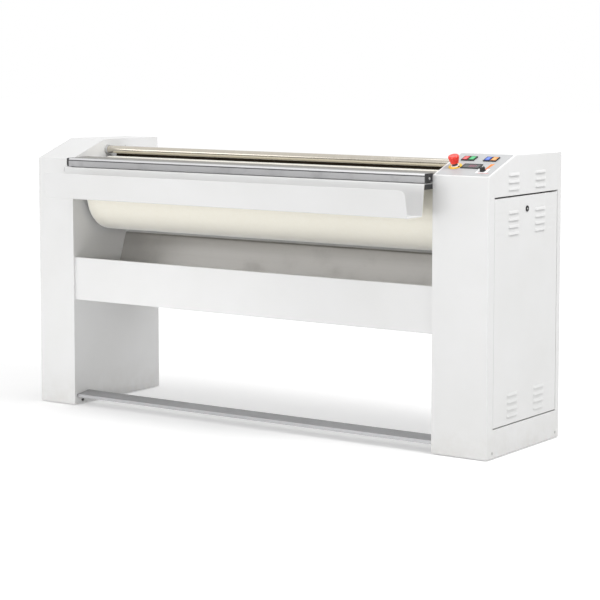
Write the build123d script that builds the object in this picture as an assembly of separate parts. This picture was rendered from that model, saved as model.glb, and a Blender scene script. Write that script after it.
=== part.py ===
"""Flatwork ironer: a padded roller turns against a concave heated chest between two sheet-steel columns.

X runs along the roller, Y from the operator's side to the back, Z up from the floor.
The origin is the middle of the footprint, on the floor. All sizes are in millimetres.
"""
import os
from math import atan2, cos, degrees, hypot, radians, sin

from build123d import *

# ------------------------------------------------------------------ overall
overall_width = 2079.5          # over both columns
column_depth = 537.5
left_column_width = 182.5
right_column_width = 226.0
floor_gap = 4.0                 # shells end this far above the floor
table_height = 1000.0           # top of the feed table; the roller and the columns' tops follow it
front_edge_drop = 6.0           # the columns' front faces end this far below the table
knee_depth = 195.0              # the sloped facet ends this far back
knee_rise = 70.5                # and this far above the front edge
back_edge_drop = 4.5            # back edge below the facet's end
sheet = 1.5                     # shell and cover sheet
wall_plate = 3.0                # inner side plates that carry the machine
shell_edge_radius = 5.0         # rounded outer edges of the side panels
shell_lap = 1.0                 # side panel reaches this far past its rounding
over = 1.0                      # cutters run this far past a face
round_sides = 16                # sides of plain round parts, to keep the facets few
small_sides = 8                 # sides of small round parts

# ------------------------------------------------------------------ roller
roller_back = 206.0             # axis behind the column fronts
roller_drop = 2.0               # top of the cloth below the table
roller_radius = 148.0           # over the cloth
roller_end_gap = 17.0           # roller end to the inner plate
cloth_thickness = 1.6
padding_thickness = 20.0
drum_wall = 5.0
journal_radius = 20.0
journal_disc = 12.0
fit = 0.05                      # radial running clearance of every shaft
seat_gap = 0.3                  # rest gap between pieces that move apart

# ------------------------------------------------------------------ pivot tube and chest
tube_back = 215.0
feed_slot = 10.2                # slot between roller and tube
tube_radius = 15.5
tube_wall = 2.5
chest_press_gap = 0.6           # chest to cloth when the pedal is down
chest_thickness = 6.0
chest_open = 3.0                # degrees that the chest hangs open at rest
chest_top_angle = 70.0          # measured up from straight back
chest_low_angle = -50.0
chest_lip = 17.0                # flared entry lip
chest_lip_lean = 3.0
chest_lip_tip = 3.6
heater_radius = 4.5
heater_count = 7
heater_end = 40.0               # heaters stop this far inside the chest ends
clamp_count = 5
clamp_width = 30.0
clamp_thickness = 2.0
clamp_tab = 2.0                 # degrees from a strap's foot to the insulation's end
insulation_end_gap = 1.0
jacket_rim = 1.0                # degrees
insulation_thickness = 24.0
insulation_top_angle = 48.0
insulation_low_angle = -42.0
hanger_thickness = 6.0
hanger_gap = 4.0                # hanger to the inner plate
hanger_boss_radius = 18.0
bush_flange_radius = 20.0
bush_flange = 3.0
bush_radius = 17.5
bush_lap = 6.0                  # bush reaches this far past the inner plate
tube_end = 12.0                 # tube past the lever and past the right-hand plate
lever_boss_radius = 22.0

# ------------------------------------------------------------------ feed table, guard and trough
table_rear = 97.0
table_thickness = 2.0
table_lip = 14.0
table_hem = 11.0
beam_wall = 3.0
feed_beam_depth = 30.0
feed_beam_height = 40.0
table_lip_lean = 5.6
beam_clearance = 2.0            # bracket reaches this far behind the beam
guard_front = 36.0              # ahead of the column fronts
guard_depth = 42.0
guard_height = 33.0
guard_wall = 2.5
guard_pivot_in = 14.0           # pivot behind the guard's front
guard_pivot_up = 15.5           # pivot above the guard's underside
guard_pin_radius = 4.0
guard_pin_play = 0.4            # screw channel of the bar round the pin's line
guard_channel_wall = 3.0
guard_web = 2.4
guard_rear_lip = 11.0
guard_foot = 12.0               # flange under the bar's front wall
guard_round = 4.0
guard_groove_low = 13.5         # groove in the front face, below its top
guard_groove_high = 10.5
guard_groove_depth = 1.2
guard_cap_rear = 14.0
guard_cap_low = 16.0
guard_table_gap = 6.5
guard_cap = 8.0
bracket_plate = 3.0
bracket_low = 22.0              # below the guard's underside
bracket_gap = 4.0               # slit between the guard's ear and the trough's hook
bracket_ear_back = 10.0
trough_drop = 37.0              # hooked flange below the table
trough_depth = 112.0            # flange to floor
trough_wall_front = 50.0        # rear wall's top, ahead of the column fronts
trough_wall_lean = 15.0
trough_floor_depth = 98.0
trough_lip_drop = 13.0          # front lip below the flange
trough_lip_lean = 20.0
trough_corner = 20.0
trough_end_gap = 3.5
trough_shell = 300.0            # longer than the trough is deep

# ------------------------------------------------------------------ tray, slide and rear cover
tray_front = 10.0
tray_bottom = 429.0
tray_top = 600.0
tray_hem = 14.0
tray_hem_drop = 10.0
slide_flange = 25.0
slide_foot = 243.0
slide_bend_back = 326.0
slide_clearance = 28.0          # bend below the roller
slide_lip = 26.0
rear_cover_rise = 10.0          # top above the table
rear_cover_bottom = 420.0
rear_cover_front = 305.0
rear_cover_hem = 6.0
rear_cover_flange = 15.0
rear_beam_depth = 40.0
rear_beam_height = 60.0
rear_beam_low = 440.0
rear_beam_drop = 100.0          # upper beam below the table

# ------------------------------------------------------------------ foot pedal and its linkage
pedal_front = 12.0
pedal_depth = 68.0
pedal_front_height = 46.0
pedal_rise = 8.0
pedal_lip = 13.0
pedal_wall = 3.0
pedal_end_gap = 4.0
pedal_plug_radius = 5.0
pedal_plug_head = 2.5
pedal_plug_reach = 12.0
pedal_plug_edge = 1.0           # metal round a plug's channel
pedal_plug_wall = 1.5
pedal_rear_lip = 10.4
pedal_rear_plug = 7.0           # rear channel below the bar's rear edge
pedal_edge_radius = 1.5
pedal_pivot_back = 330.0
pedal_pivot_height = 60.0
pedal_pin_back = 46.0
pedal_pin_height = 38.0
pedal_pin_radius = 7.0
pedal_travel = 4.0              # degrees
arm_thickness = 8.0
arm_boss_radius = 16.0
arm_tip_radius = 8.5            # clears the base plate when the bar is down
lever_tip_radius = 11.0
arm_side_gap = 12.0             # arm to the inner plate
arm_saddle = 26.0               # saddle under the bar, along Y
arm_saddle_end = 4.0            # saddle from the bar's end
arm_reach = 34.0                # pin inside the bar
pivot_pin_radius = 8.0
pivot_collar_rise = 4.0
pivot_collar = 4.0
pivot_play = 1.0                # collar to the arm
slot_play = 1.5                 # slot in the inner plate round the moving pin
link_pin_end = 2.0              # pins stand this far out of the tie rod
link_offset = 75.0              # tie rod pin from the pedal pivot
link_pin_radius = 5.0
rod_thickness = 10.0
rod_radius = 5.0
rod_eye_radius = 11.0
rod_slack = 0.8                 # play of the upper eye
base_plate = 3.0
foot_radius = 20.0
foot_pad = 6.0
foot_stud_radius = 5.0
foot_stud = 34.0
foot_nut_radius = 9.0
foot_nut = 8.0
foot_inset = 45.0
foot_shift = 30.0               # feet sit this far outward of a column's middle
foot_play = 0.5                 # plate hole round the stud
base_hole_margin = 40.0         # metal left round the opening in a base plate
link_side_gap = 1.0             # tie rod to the arm and to the lever

# ------------------------------------------------------------------ bearings and drive
housing_width = 104.0
housing_flange = 14.0
housing_boss_radius = 38.0
housing_boss = 20.0
housing_chamfer = 14.0
journal_end = 6.0               # journal past the left-hand housing
bolt_spread = 78.0
bolt_head_radius = 9.0
bolt_head = 7.0
journal_hole = 30.0
roller_pulley_radius = 90.0
motor_pulley_radius = 30.0
pulley_width = 22.0
pulley_flange = 2.5
pulley_flange_rise = 6.0
belt_thickness = 4.0
belt_gap = 0.3
pulley_gap = 8.0                # pulley to the bearing boss
pulley_holes = 5
pulley_hole_radius = 17.0
belt_side_gap = 1.0
motor_back = 300.0
motor_height = 560.0
gearbox_width = 90.0
gearbox_depth = 100.0
gearbox_height = 108.0
output_radius = 10.0
output_depth = 40.0             # how far the output shaft sits in the gearbox
gearbox_chamfer = 12.0
gearbox_boss_radius = 34.0
gearbox_boss = 6.0
shaft_shrink = 1.0              # motor pulley's bore is this much under its shaft
bracket_thickness = 5.0
bracket_gap_x = 3.0             # bracket plate to the pulley
bracket_clear = 6.0             # shelf below the motor pulley
bracket_foot = 70.0
bracket_web_gap = 10.0
bracket_hole = 4.0              # hole in the plate round the output shaft
motor_radius = 58.0
motor_length = 190.0
motor_rib = 4.0
motor_rib_width = 2.4
motor_ribs = 6
motor_shift = 14.0              # motor's axis beyond the gearbox's middle
motor_fan = 34.0                # plain cowl at the motor's lower end
motor_collar = 26.0             # plain stretch under the gearbox
terminal_box = (80.0, 46.0, 80.0)
terminal_box_drop = 40.0
terminal_box_sink = 12.0
control_box_width = 120.0
control_box_depth = 110.0
control_box_low = 560.0
control_box_high = 900.0
control_box_wall = 2.0
control_box_side = 20.0         # from the outer panel
control_box_chamfer = 6.0

# ------------------------------------------------------------------ access door and louvres
door_front = 42.8
door_back_margin = 31.8         # door to the back of the column
door_bottom = 109.0
door_top_margin = 79.0          # door's top below the front edge
door_side_gap = 2.0
door_top_gap = 6.0
door_bottom_gap = 4.0
door_flange = 15.0
frame_return = 17.0
door_pin_radius = 3.0
door_pin_reach = 3.0            # pin inside the door's flange
door_pin_up = 9.0
door_pin_in = 8.5
lock_back = 276.0
lock_drop = 47.0                # below the door's top
lock_head_radius = 11.0
lock_head = 2.0
lock_radius = 9.0
lock_tongue = 66.0
lock_tongue_width = 14.0
lock_tongue_thickness = 2.0
lock_lift = 0.2                 # head off the door's face
lock_slot = (8.0, 1.8, 1.0)
louvre_length = 80.0
louvre_height = 12.0
louvre_rise = 5.0
louvre_crown = (3.6, 6.6)       # out and up to the hood's fold
louvre_front = 135.2            # middle of the front row from the door's front edge
louvre_back = 131.7             # and of the rear row from its back edge
louvre_pitch = 25.0
upper_louvres = 3
upper_louvre_rise = 26.0        # lowest row above the door's top
door_louvres = 4
door_louvre_drop = 132.0        # lowest of the door's upper rows below its top
door_louvre_low = 135.0
screw_radius = 5.0
screw_head = 1.8
screw_height = 23.0
wall_screw_radius = 3.5
wall_screw_back = 326.0
wall_screw_drop = 32.5          # below the facet's end
screw_front = 37.0
screw_back_margin = 30.5
service_front = 60.0
service_back_margin = 59.5
service_bottom = 120.0
service_top_margin = 94.0       # below the front edge
service_lap = 15.0              # panel laps the opening by this much

# ------------------------------------------------------------------ console on the sloped facet
overlay_margin = 8.0
overlay_thickness = 0.8
overlay_corner = 3.0
cutter_reach = 5.0
estop_across = 46.5             # from the column's inner face
estop_run = 81.0                # up the slope from the front edge
estop_base_radius = 24.5
estop_base = 5.0
estop_ring = 2.0
estop_collar_radius = 15.0
estop_barrel = 18.0             # below the facet
estop_barrel_wall = 1.0
estop_stem_low = 14.0
estop_stem_radius = 10.0
estop_neck_radius = 7.0
estop_head_radius = 20.0
estop_head_low_radius = 14.5
estop_head_gap = 4.2            # left between head and collar when it is pressed
estop_head_high = 43.0
estop_head_round = 4.0
estop_cap = 12.0
estop_travel = 4.0
display_across = 111.0
display_run = 85.0
display_width = 73.0
display_length = 38.0
display_rise = 3.0
display_depth = 40.0
display_inset = 5.0             # housing is this much smaller than the frame
display_window = (64.0, 26.0)
display_recess = 0.8
display_hole_inset = 4.0
button_run = 151.0
button_across = {"red": 53.0, "green": 79.5, "blue": 142.5, "orange": 168.5}
button_width = 26.0
button_length = 35.0
button_rise = 4.0
button_rim = 3.2
button_depth = 18.0
button_proud = 1.2
button_play = 0.2
button_travel = 2.0
button_body_inset = 3.6         # body below the facet is this much smaller
button_hole_inset = 3.4
button_floor = 2.0
button_edge = 0.9
knob_across = 173.5
knob_run = 51.0
knob_radius = 10.5
knob_height = 15.0
knob_shaft_radius = 3.0
knob_shaft = 12.0
knob_edge = 1.2
knob_mark = (1.4, 9.4)
knob_mark_depth = 0.8

# ------------------------------------------------------------------ supply inlet
gland_across = 112.0
gland_height = 200.0
gland_bore = 8.0
gland_hex_radius = 16.0
gland_hex = 8.0
gland_dome_radius = 14.0
gland_dome = 16.0
gland_inside = 10.0
gland_neck = 2.0                # wall of its threaded neck
gland_nut = 5.0
gland_taper = 3.0

# ------------------------------------------------------------------ planes worked out from the sizes
roller_height = table_height - roller_drop - roller_radius
front_edge_height = table_height - front_edge_drop
knee_height = front_edge_height + knee_rise
back_edge_height = knee_height - back_edge_drop
trough_top = table_height - trough_drop
trough_floor = trough_top - trough_depth
trough_lip_height = trough_top - trough_lip_drop
slide_bend_height = roller_height - roller_radius - slide_clearance
rear_cover_top = table_height + rear_cover_rise
rear_beam_high = table_height - rear_beam_drop
door_back = column_depth - door_back_margin
door_top = front_edge_height - door_top_margin
lock_height = door_top - lock_drop
louvre_columns = (door_front + louvre_front, door_back - louvre_back)
upper_louvre_low = door_top + upper_louvre_rise
door_louvre_high = door_top - door_louvre_drop
wall_screw_height = knee_height - wall_screw_drop
screw_back = column_depth - screw_back_margin
service_back = column_depth - service_back_margin
service_top = front_edge_height - service_top_margin
gland_reach = gland_hex + gland_dome
trough_bottom_front = trough_wall_front + trough_wall_lean
trough_reach = trough_bottom_front + trough_floor_depth + trough_lip_lean
left_x = (sheet + screw_head - overall_width - louvre_rise) / 2
right_x = left_x + overall_width
left_wall = left_x + left_column_width
right_wall = right_x - right_column_width
front_y = (trough_reach - column_depth - gland_reach) / 2
back_y = front_y + column_depth
roller_y = front_y + roller_back
tube_y = front_y + tube_back
tube_z = roller_height + roller_radius + feed_slot + tube_radius
roller_x0 = left_wall + roller_end_gap
roller_x1 = right_wall - roller_end_gap
slope = degrees(atan2(knee_height - front_edge_height, knee_depth))
facet_length = hypot(knee_height - front_edge_height, knee_depth)
guard_y = front_y - guard_front
guard_z = table_height - guard_height
guard_pivot_y = guard_y + guard_pivot_in
guard_pivot_z = guard_z + guard_pivot_up
table_front = guard_y + guard_depth + guard_table_gap
beam_front = table_front + table_thickness
pedal_pivot_y = front_y + pedal_pivot_back
pedal_pin_y = front_y + pedal_pin_back
arm_slope = atan2(pedal_pivot_height - pedal_pin_height, pedal_pivot_back - pedal_pin_back)
link_y = pedal_pivot_y - link_offset * cos(arm_slope)
link_z = pedal_pivot_height - link_offset * sin(arm_slope)
lever_offset = link_offset * pedal_travel / chest_open
lever_y = tube_y + lever_offset
chest_radius = roller_radius + chest_press_gap
estop_head_low = overlay_thickness + estop_base + estop_travel + estop_head_gap
estop_hole_radius = estop_stem_radius + estop_barrel_wall + fit
motor_y = front_y + motor_back
door_hinge_x = right_x - door_pin_in
door_hinge_z = door_bottom + door_pin_up
lock_y = front_y + lock_back
foot_x = ((left_x + sheet + left_wall - wall_plate) / 2 - foot_shift,
          (right_wall + wall_plate + right_x - sheet) / 2 + foot_shift)
foot_y = (front_y + foot_inset, back_y - foot_inset)
tie_x = left_wall - wall_plate - arm_side_gap - arm_thickness - link_side_gap - rod_thickness / 2
gland_length = gland_inside + sheet + gland_reach

parts = {}


# ------------------------------------------------------------------ shape helpers
def block(x0, x1, y0, y1, z0, z1):
    """Box between two corners."""
    return Pos((x0 + x1) / 2, (y0 + y1) / 2, (z0 + z1) / 2) * Box(x1 - x0, y1 - y0, z1 - z0)


def prism_x(face, x0, x1):
    """Extrude a face drawn in (Y, Z) from x0 to x1."""
    return extrude(Plane.YZ.offset(x0) * face, amount=x1 - x0)


def poly(points):
    return make_face(Polyline(*points, close=True))


def disc(radius, sides=None):
    """Round section, or one with a few flats."""
    return RegularPolygon(radius, sides) if sides else Circle(radius)


def rod_x(y, z, radius, x0, x1, sides=None):
    """Rod along X; with sides given it is a prism with that many flats."""
    return extrude(Plane.YZ.offset(x0) * Pos(y, z) * disc(radius, sides), amount=x1 - x0)


def tube_x(y, z, outer, inner, x0, x1):
    return rod_x(y, z, outer, x0, x1) - rod_x(y, z, inner, x0 - over, x1 + over)


def rod_z(x, y, radius, z0, z1, sides=None):
    return Pos(x, y, z0) * extrude(disc(radius, sides), amount=z1 - z0)


def offset_line(points, distance):
    """Points of an open bent line moved sideways by distance, to the right of its direction."""
    moved = []
    for i, (y, z) in enumerate(points):
        turns = []
        for a, b in ((i - 1, i), (i, i + 1)):
            if a >= 0 and b < len(points):
                dy, dz = points[b][0] - points[a][0], points[b][1] - points[a][1]
                length = hypot(dy, dz)
                turns.append((dz / length, -dy / length))
        ny = sum(n[0] for n in turns) / len(turns)
        nz = sum(n[1] for n in turns) / len(turns)
        scale = distance / (ny * ny + nz * nz)
        moved.append((y + ny * scale, z + nz * scale))
    return moved


def bent_sheet(points, thickness):
    """Section of a folded sheet whose outer skin follows the points, with its metal to the right."""
    return poly(points + offset_line(points, thickness)[::-1])


def sector(r_in, r_out, low, high):
    """Section of a ring about the roller's axis, between two angles."""
    centre = (roller_y, roller_height)
    inner = CenterArc(centre, r_in, low, high - low)
    outer = CenterArc(centre, r_out, low, high - low)
    return make_face([inner, Line(inner @ 1, outer @ 1), outer, Line(outer @ 0, inner @ 0)])


def hull_face(*circles):
    """Outline pulled round circles given as (y, z, radius)."""
    edges = [edge for y, z, r in circles for edge in (Pos(y, z) * Circle(r)).edges()]
    return make_hull(edges)


def link_face(*ends, sides=round_sides):
    """Outline of a flat link whose round ends, given as (y, z, radius), have a few flats."""
    edges = [edge for y, z, r in ends for edge in (Pos(y, z) * RegularPolygon(r, sides)).edges()]
    return make_hull(edges)


def box_tube(x0, x1, y0, y1, z0, z1, wall):
    outer = block(x0, x1, y0, y1, z0, z1)
    return outer - block(x0 - over, x1 + over, y0 + wall, y1 - wall, z0 + wall, z1 - wall)


def keep(name, *shapes):
    """Store one named piece, or a group of separate alike pieces."""
    solids = [solid for shape in shapes for solid in shape.solids()]
    parts[name] = solids[0] if len(solids) == 1 else Compound(children=solids)


# ------------------------------------------------------------------ columns
def column_line():
    """Front, slope, top and back of a column, from the bottom front round to the bottom back."""
    return [(front_y, floor_gap), (front_y, front_edge_height), (front_y + knee_depth, knee_height),
            (back_y, back_edge_height), (back_y, floor_gap)]


def louvre(y, low):
    """Hood pressed out of the right-hand panels, open below, and the slot behind it."""
    def bulge(shrink):
        rise, height = louvre_rise - shrink, louvre_height - shrink
        half = louvre_length / 2 - shrink
        x0, x1 = right_x - 3 * sheet, right_x - (sheet if shrink else 0)
        fold = (x1 + louvre_crown[0] - shrink / 2, low + louvre_crown[1] - shrink / 2)
        crown = poly([(x1, low + height), fold, (x1 + rise, low), (x0, low), (x0, low + height)])
        crown = extrude(Plane.XZ.offset(-(y - half)) * crown, amount=-2 * half)
        plan = poly([(x0, y - half), (x1, y - half), (x1 + rise, y - half + rise),
                     (x1 + rise, y + half - rise), (x1, y + half), (x0, y + half)])
        return crown & extrude(Plane.XY.offset(low - over) * plan, amount=height + 2 * over)

    front = block(right_x - sheet, right_x + louvre_rise + over, y - louvre_length, y + louvre_length,
                  low, low + louvre_height + over)
    hollow = bulge(sheet)
    return (bulge(0) - hollow) & front, hollow


def add_louvres(panel, lows):
    for y in louvre_columns:
        for low in lows:
            hood, slot = louvre(front_y + y, low)
            panel = panel - slot + hood
    return panel


def side_panel(x_face, side):
    """Outer panel of a column with rounded edges; side is +1 on the right and -1 on the left."""
    x_in = x_face - side * (shell_edge_radius + shell_lap)
    low, high = sorted((x_in, x_face))
    slab = prism_x(poly(column_line()), low, high)
    rim = slab.faces().sort_by(Axis.X)[-1 if side > 0 else 0].edges()
    slab = fillet(rim.sort_by(Axis.Z)[1:], shell_edge_radius)
    inner = offset_line(column_line(), sheet)
    inner[0] = (inner[0][0], floor_gap - over)
    inner[-1] = (inner[-1][0], floor_gap - over)
    low, high = sorted((x_in - side, x_face - side * sheet))
    return slab - prism_x(poly(inner), low, high)


def inner_plate(x_wall, side):
    """Plate beside the roller; it carries the bearings, the pivot tube and the pedal pivot."""
    low, high = sorted((x_wall, x_wall + side * wall_plate))
    inner = offset_line(column_line(), sheet)
    plate = prism_x(poly(inner), low, high)
    for y, z, r in ((roller_y, roller_height, journal_hole), (tube_y, tube_z, bush_radius)):
        plate -= rod_x(y, z, r, low - over, high + over, round_sides)
    drop = radians(pedal_travel)
    dy, dz = pedal_pin_y - pedal_pivot_y, pedal_pin_height - pedal_pivot_height
    y_low = pedal_pivot_y + dy * cos(drop) - dz * sin(drop)
    z_low = pedal_pivot_height + dy * sin(drop) + dz * cos(drop)
    r = pedal_pin_radius + slot_play
    slot = link_face((pedal_pin_y, pedal_pin_height, r), (y_low, z_low, r))
    plate -= prism_x(slot, low - over, high + over)
    x_pin = x_wall + side * (wall_plate + arm_side_gap + arm_thickness + pivot_play)
    x_head = x_pin + side * pivot_collar
    pin = rod_x(pedal_pivot_y, pedal_pivot_height, pivot_pin_radius, *sorted((x_wall, x_head)))
    collar = rod_x(pedal_pivot_y, pedal_pivot_height, pivot_pin_radius + pivot_collar_rise,
                   *sorted((x_pin, x_head)), round_sides)
    return plate + pin + collar


def columns():
    split = shell_edge_radius + shell_lap
    wrap = bent_sheet(column_line(), sheet)
    keep("left_cover", prism_x(wrap, left_x + split, left_wall))
    keep("left_inner_plate", inner_plate(left_wall, -1))
    keep("right_inner_plate", inner_plate(right_wall, 1))

    right = prism_x(wrap, right_wall, right_x - split)
    right -= console_cutters()
    hole = Pos(right_wall + gland_across, back_y, gland_height) * Rot(90, 0, 0)
    right -= hole * extrude(disc(gland_bore + gland_neck, round_sides), amount=3 * sheet, both=True)
    keep("right_cover", right)

    panel = side_panel(left_x, -1)
    opening = (front_y + service_front, front_y + service_back, service_bottom, service_top)
    lap = service_lap
    panel -= block(left_x - over, left_x + 3 * sheet, opening[0] + lap, opening[1] - lap,
                   opening[2] + lap, opening[3] - lap)
    keep("left_side_panel", panel)
    keep("left_service_panel", block(left_x - sheet, left_x, *opening))


def right_side():
    """Right-hand panel with its door opening, the folded frame round it, the door and its lock."""
    y0, y1 = front_y + door_front, front_y + door_back
    outer = (y0 - door_side_gap, y1 + door_side_gap, door_bottom - door_bottom_gap, door_top + door_top_gap)
    panel = side_panel(right_x, 1)
    frame = block(right_x - frame_return, right_x - sheet / 2, outer[0] - sheet, outer[1] + sheet,
                  outer[2] - sheet, outer[3] + sheet)
    panel = panel + frame - block(right_x - frame_return - over, right_x + over, *outer)
    lows = [upper_louvre_low + i * louvre_pitch for i in range(upper_louvres)]
    panel = add_louvres(panel, lows)
    for y, out in ((outer[0], 1), (outer[1], -1)):
        ends = sorted((y - out * sheet, y + out * (door_side_gap + sheet + door_pin_reach)))
        pin = Plane.XZ.offset(-ends[0]) * Pos(door_hinge_x, door_hinge_z) * Circle(door_pin_radius)
        panel += extrude(pin, amount=ends[0] - ends[1])
    keep("right_side_panel", panel)

    door = block(right_x - door_flange, right_x, y0, y1, door_bottom, door_top)
    door = fillet(door.faces().sort_by(Axis.X)[-1].edges(), sheet)
    door -= block(right_x - door_flange - over, right_x - sheet, y0 + sheet, y1 - sheet,
                  door_bottom + sheet, door_top - sheet)
    hinge = Plane.XZ * Pos(door_hinge_x, door_hinge_z) * Circle(door_pin_radius + fit)
    door -= extrude(hinge, amount=column_depth, both=True)
    door -= rod_x(lock_y, lock_height, lock_radius + fit, right_x - 2 * sheet, right_x + over)
    lows = [door_louvre_low + i * louvre_pitch for i in range(door_louvres)]
    lows += [door_louvre_high + i * louvre_pitch for i in range(door_louvres)]
    keep("access_door", add_louvres(door, lows))

    x_tongue = right_x - frame_return - lock_tongue_thickness - seat_gap
    lock = rod_x(lock_y, lock_height, lock_radius, x_tongue, right_x + lock_lift)
    head = (right_x + lock_lift, right_x + lock_head)
    lock += rod_x(lock_y, lock_height, lock_head_radius, *head, round_sides)
    half = lock_tongue_width / 2
    lock += block(x_tongue, x_tongue + lock_tongue_thickness, lock_y, lock_y + lock_tongue,
                  lock_height - half, lock_height + half)
    length, width, depth = lock_slot
    lock -= block(head[1] - depth, head[1] + over, lock_y - length / 2, lock_y + length / 2,
                  lock_height - width / 2, lock_height + width / 2)
    keep("door_lock", lock)


def base_and_feet():
    plates, feet = [], []
    spans = ((left_x + sheet, left_wall - wall_plate), (right_wall + wall_plate, right_x - sheet))
    for (x0, x1), x in zip(spans, foot_x):
        plate = block(x0, x1, front_y + sheet, back_y - sheet, foot_pad, foot_pad + base_plate)
        margin = base_hole_margin
        plate -= block(x0 + margin, x1 - margin, foot_y[0] + margin, foot_y[1] - margin, 0, foot_stud)
        for y in foot_y:
            plate -= rod_z(x, y, foot_stud_radius + foot_play, 0, foot_stud, small_sides)
            foot = rod_z(x, y, foot_radius, 0, foot_pad, round_sides)
            foot += rod_z(x, y, foot_stud_radius, foot_pad, foot_pad + foot_stud, small_sides)
            nut_low = foot_pad + base_plate
            feet.append(foot + rod_z(x, y, foot_nut_radius, nut_low, nut_low + foot_nut, 6))
        plates.append(plate)
    keep("base_plates", *plates)
    keep("levelling_feet", *feet)


def cross_members():
    top = table_height - table_thickness
    beams = [box_tube(left_wall + bracket_plate, right_wall - bracket_plate, beam_front,
                      beam_front + feed_beam_depth, top - feed_beam_height, top, beam_wall)]
    y1 = back_y - sheet - sheet
    for low in (rear_beam_low, rear_beam_high):
        beams.append(box_tube(left_wall, right_wall, y1 - rear_beam_depth, y1,
                              low, low + rear_beam_height, beam_wall))
    keep("cross_beams", *beams)


def rear():
    """Back sheet between the columns, with its folded top and bottom hem."""
    y1 = back_y - sheet
    y0 = front_y + rear_cover_front
    line = [(y0, rear_cover_top - rear_cover_hem), (y0, rear_cover_top), (y1, rear_cover_top),
            (y1, rear_cover_bottom), (y1 - rear_cover_flange, rear_cover_bottom)]
    keep("rear_cover", prism_x(bent_sheet(line, sheet), left_wall, right_wall))


# ------------------------------------------------------------------ feed side
def feed_table():
    y1 = front_y + table_rear
    top = table_height
    line = [(table_front, top - table_hem), (table_front, top), (y1, top),
            (y1 + table_lip_lean, top - table_lip)]
    keep("feed_plate", prism_x(bent_sheet(line, table_thickness), left_wall, right_wall))


def guard():
    """Hollow finger-guard bar, its end caps and the pivot brackets."""
    y0, y1, z0, z1 = guard_y, guard_y + guard_depth, guard_z, table_height
    x0 = left_wall + bracket_plate + seat_gap + guard_cap
    x1 = right_wall - bracket_plate - seat_gap - guard_cap
    w = guard_wall
    outline = poly([(y0, z0), (y0, z1), (y1, z1), (y1, z1 - guard_rear_lip), (y1 - w, z1 - guard_rear_lip),
                    (y1 - w, z1 - w), (y0 + w, z1 - w), (y0 + w, z0 + w), (y0 + guard_foot, z0 + w),
                    (y0 + guard_foot, z0)])
    bar = prism_x(outline, x0, x1)
    bar = fillet(bar.edges().filter_by(Axis.X).group_by(Axis.Z)[-1].sort_by(Axis.Y)[0], guard_round)
    bar -= block(x0 - over, x1 + over, y0 - over, y0 + guard_groove_depth,
                 z1 - guard_groove_low, z1 - guard_groove_high)
    channel = guard_pin_radius + guard_pin_play
    bar += (rod_x(guard_pivot_y, guard_pivot_z, channel + guard_channel_wall, x0, x1, round_sides)
            - rod_x(guard_pivot_y, guard_pivot_z, channel, x0 - over, x1 + over, small_sides))
    bar += block(x0, x1, y0 + w / 2, guard_pivot_y - channel,
                 guard_pivot_z - guard_web / 2, guard_pivot_z + guard_web / 2)
    bar -= rod_x(guard_pivot_y, guard_pivot_z, channel, x0 - over, x1 + over, small_sides)
    keep("guard_bar", bar)

    caps, brackets = [], []
    for x_wall, side in ((left_wall, 1), (right_wall, -1)):
        near = x_wall + side * (bracket_plate + seat_gap)
        far = near + side * guard_cap
        end = poly([(y0, z0), (y0, z1), (y1, z1), (y1, z1 - guard_cap_rear), (y1 - guard_cap_low, z0)])
        cap = prism_x(end, *sorted((near, far)))
        cap = fillet(cap.edges().filter_by(Axis.X).group_by(Axis.Z)[-1], guard_round)
        cap -= rod_x(guard_pivot_y, guard_pivot_z, guard_pin_radius + fit, *sorted((near - side, far + side)))
        caps.append(cap)

        inner, outer = sorted((x_wall, x_wall + side * bracket_plate))
        lean = trough_wall_lean / (trough_top - trough_floor)
        y_hook = front_y - trough_wall_front + sheet
        low = guard_z - bracket_low
        ear_low, ear_high = guard_z + bracket_gap, table_height - table_thickness
        shoulder = table_height - table_hem - bracket_gap
        back = beam_front + feed_beam_depth + beam_clearance
        ear_back, ear_front = front_y + bracket_ear_back, y0 + sheet
        plate = poly([(y_hook, trough_top), (y_hook - lean * (trough_top - low), low), (back, low),
                      (back, shoulder), (ear_back, shoulder), (ear_back, ear_high), (ear_front, ear_high),
                      (ear_front, ear_low), (ear_back - over, ear_low), (ear_back - over, trough_top)])
        bracket = prism_x(plate, inner, outer)
        pin_end = x_wall + side * (bracket_plate + guard_cap)
        bracket += rod_x(guard_pivot_y, guard_pivot_z, guard_pin_radius, *sorted((x_wall + side, pin_end)))
        brackets.append(bracket)
    keep("guard_caps", *caps)
    keep("front_brackets", *brackets)


def trough_line():
    """Section of the feed trough: hooked flange, rear wall, floor and front lip."""
    top_y = front_y - trough_wall_front
    floor_y = front_y - trough_bottom_front
    return [(beam_front, trough_top), (top_y, trough_top), (floor_y, trough_floor),
            (floor_y - trough_floor_depth, trough_floor),
            (floor_y - trough_floor_depth - trough_lip_lean, trough_lip_height)]


def trough():
    """Open-ended channel in front of the columns that holds the linen before it is fed."""
    line = trough_line()
    x0 = left_wall + trough_end_gap
    x1 = right_wall - trough_end_gap
    body = prism_x(bent_sheet(line, sheet), x0, x1)
    lip_foot = line[3][0]
    height = trough_lip_height - trough_floor
    face = RectangleRounded(x1 - x0, 2 * height, trough_corner)
    face = Pos((x0 + x1) / 2, trough_lip_height - height) * face
    lip_space = extrude(Plane.XZ.offset(-lip_foot) * face, amount=trough_shell)
    rest = block(x0 - over, x1 + over, lip_foot, lip_foot + trough_shell, trough_floor - over, table_height)
    keep("feed_trough", (body & rest) + (body & lip_space))


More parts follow.
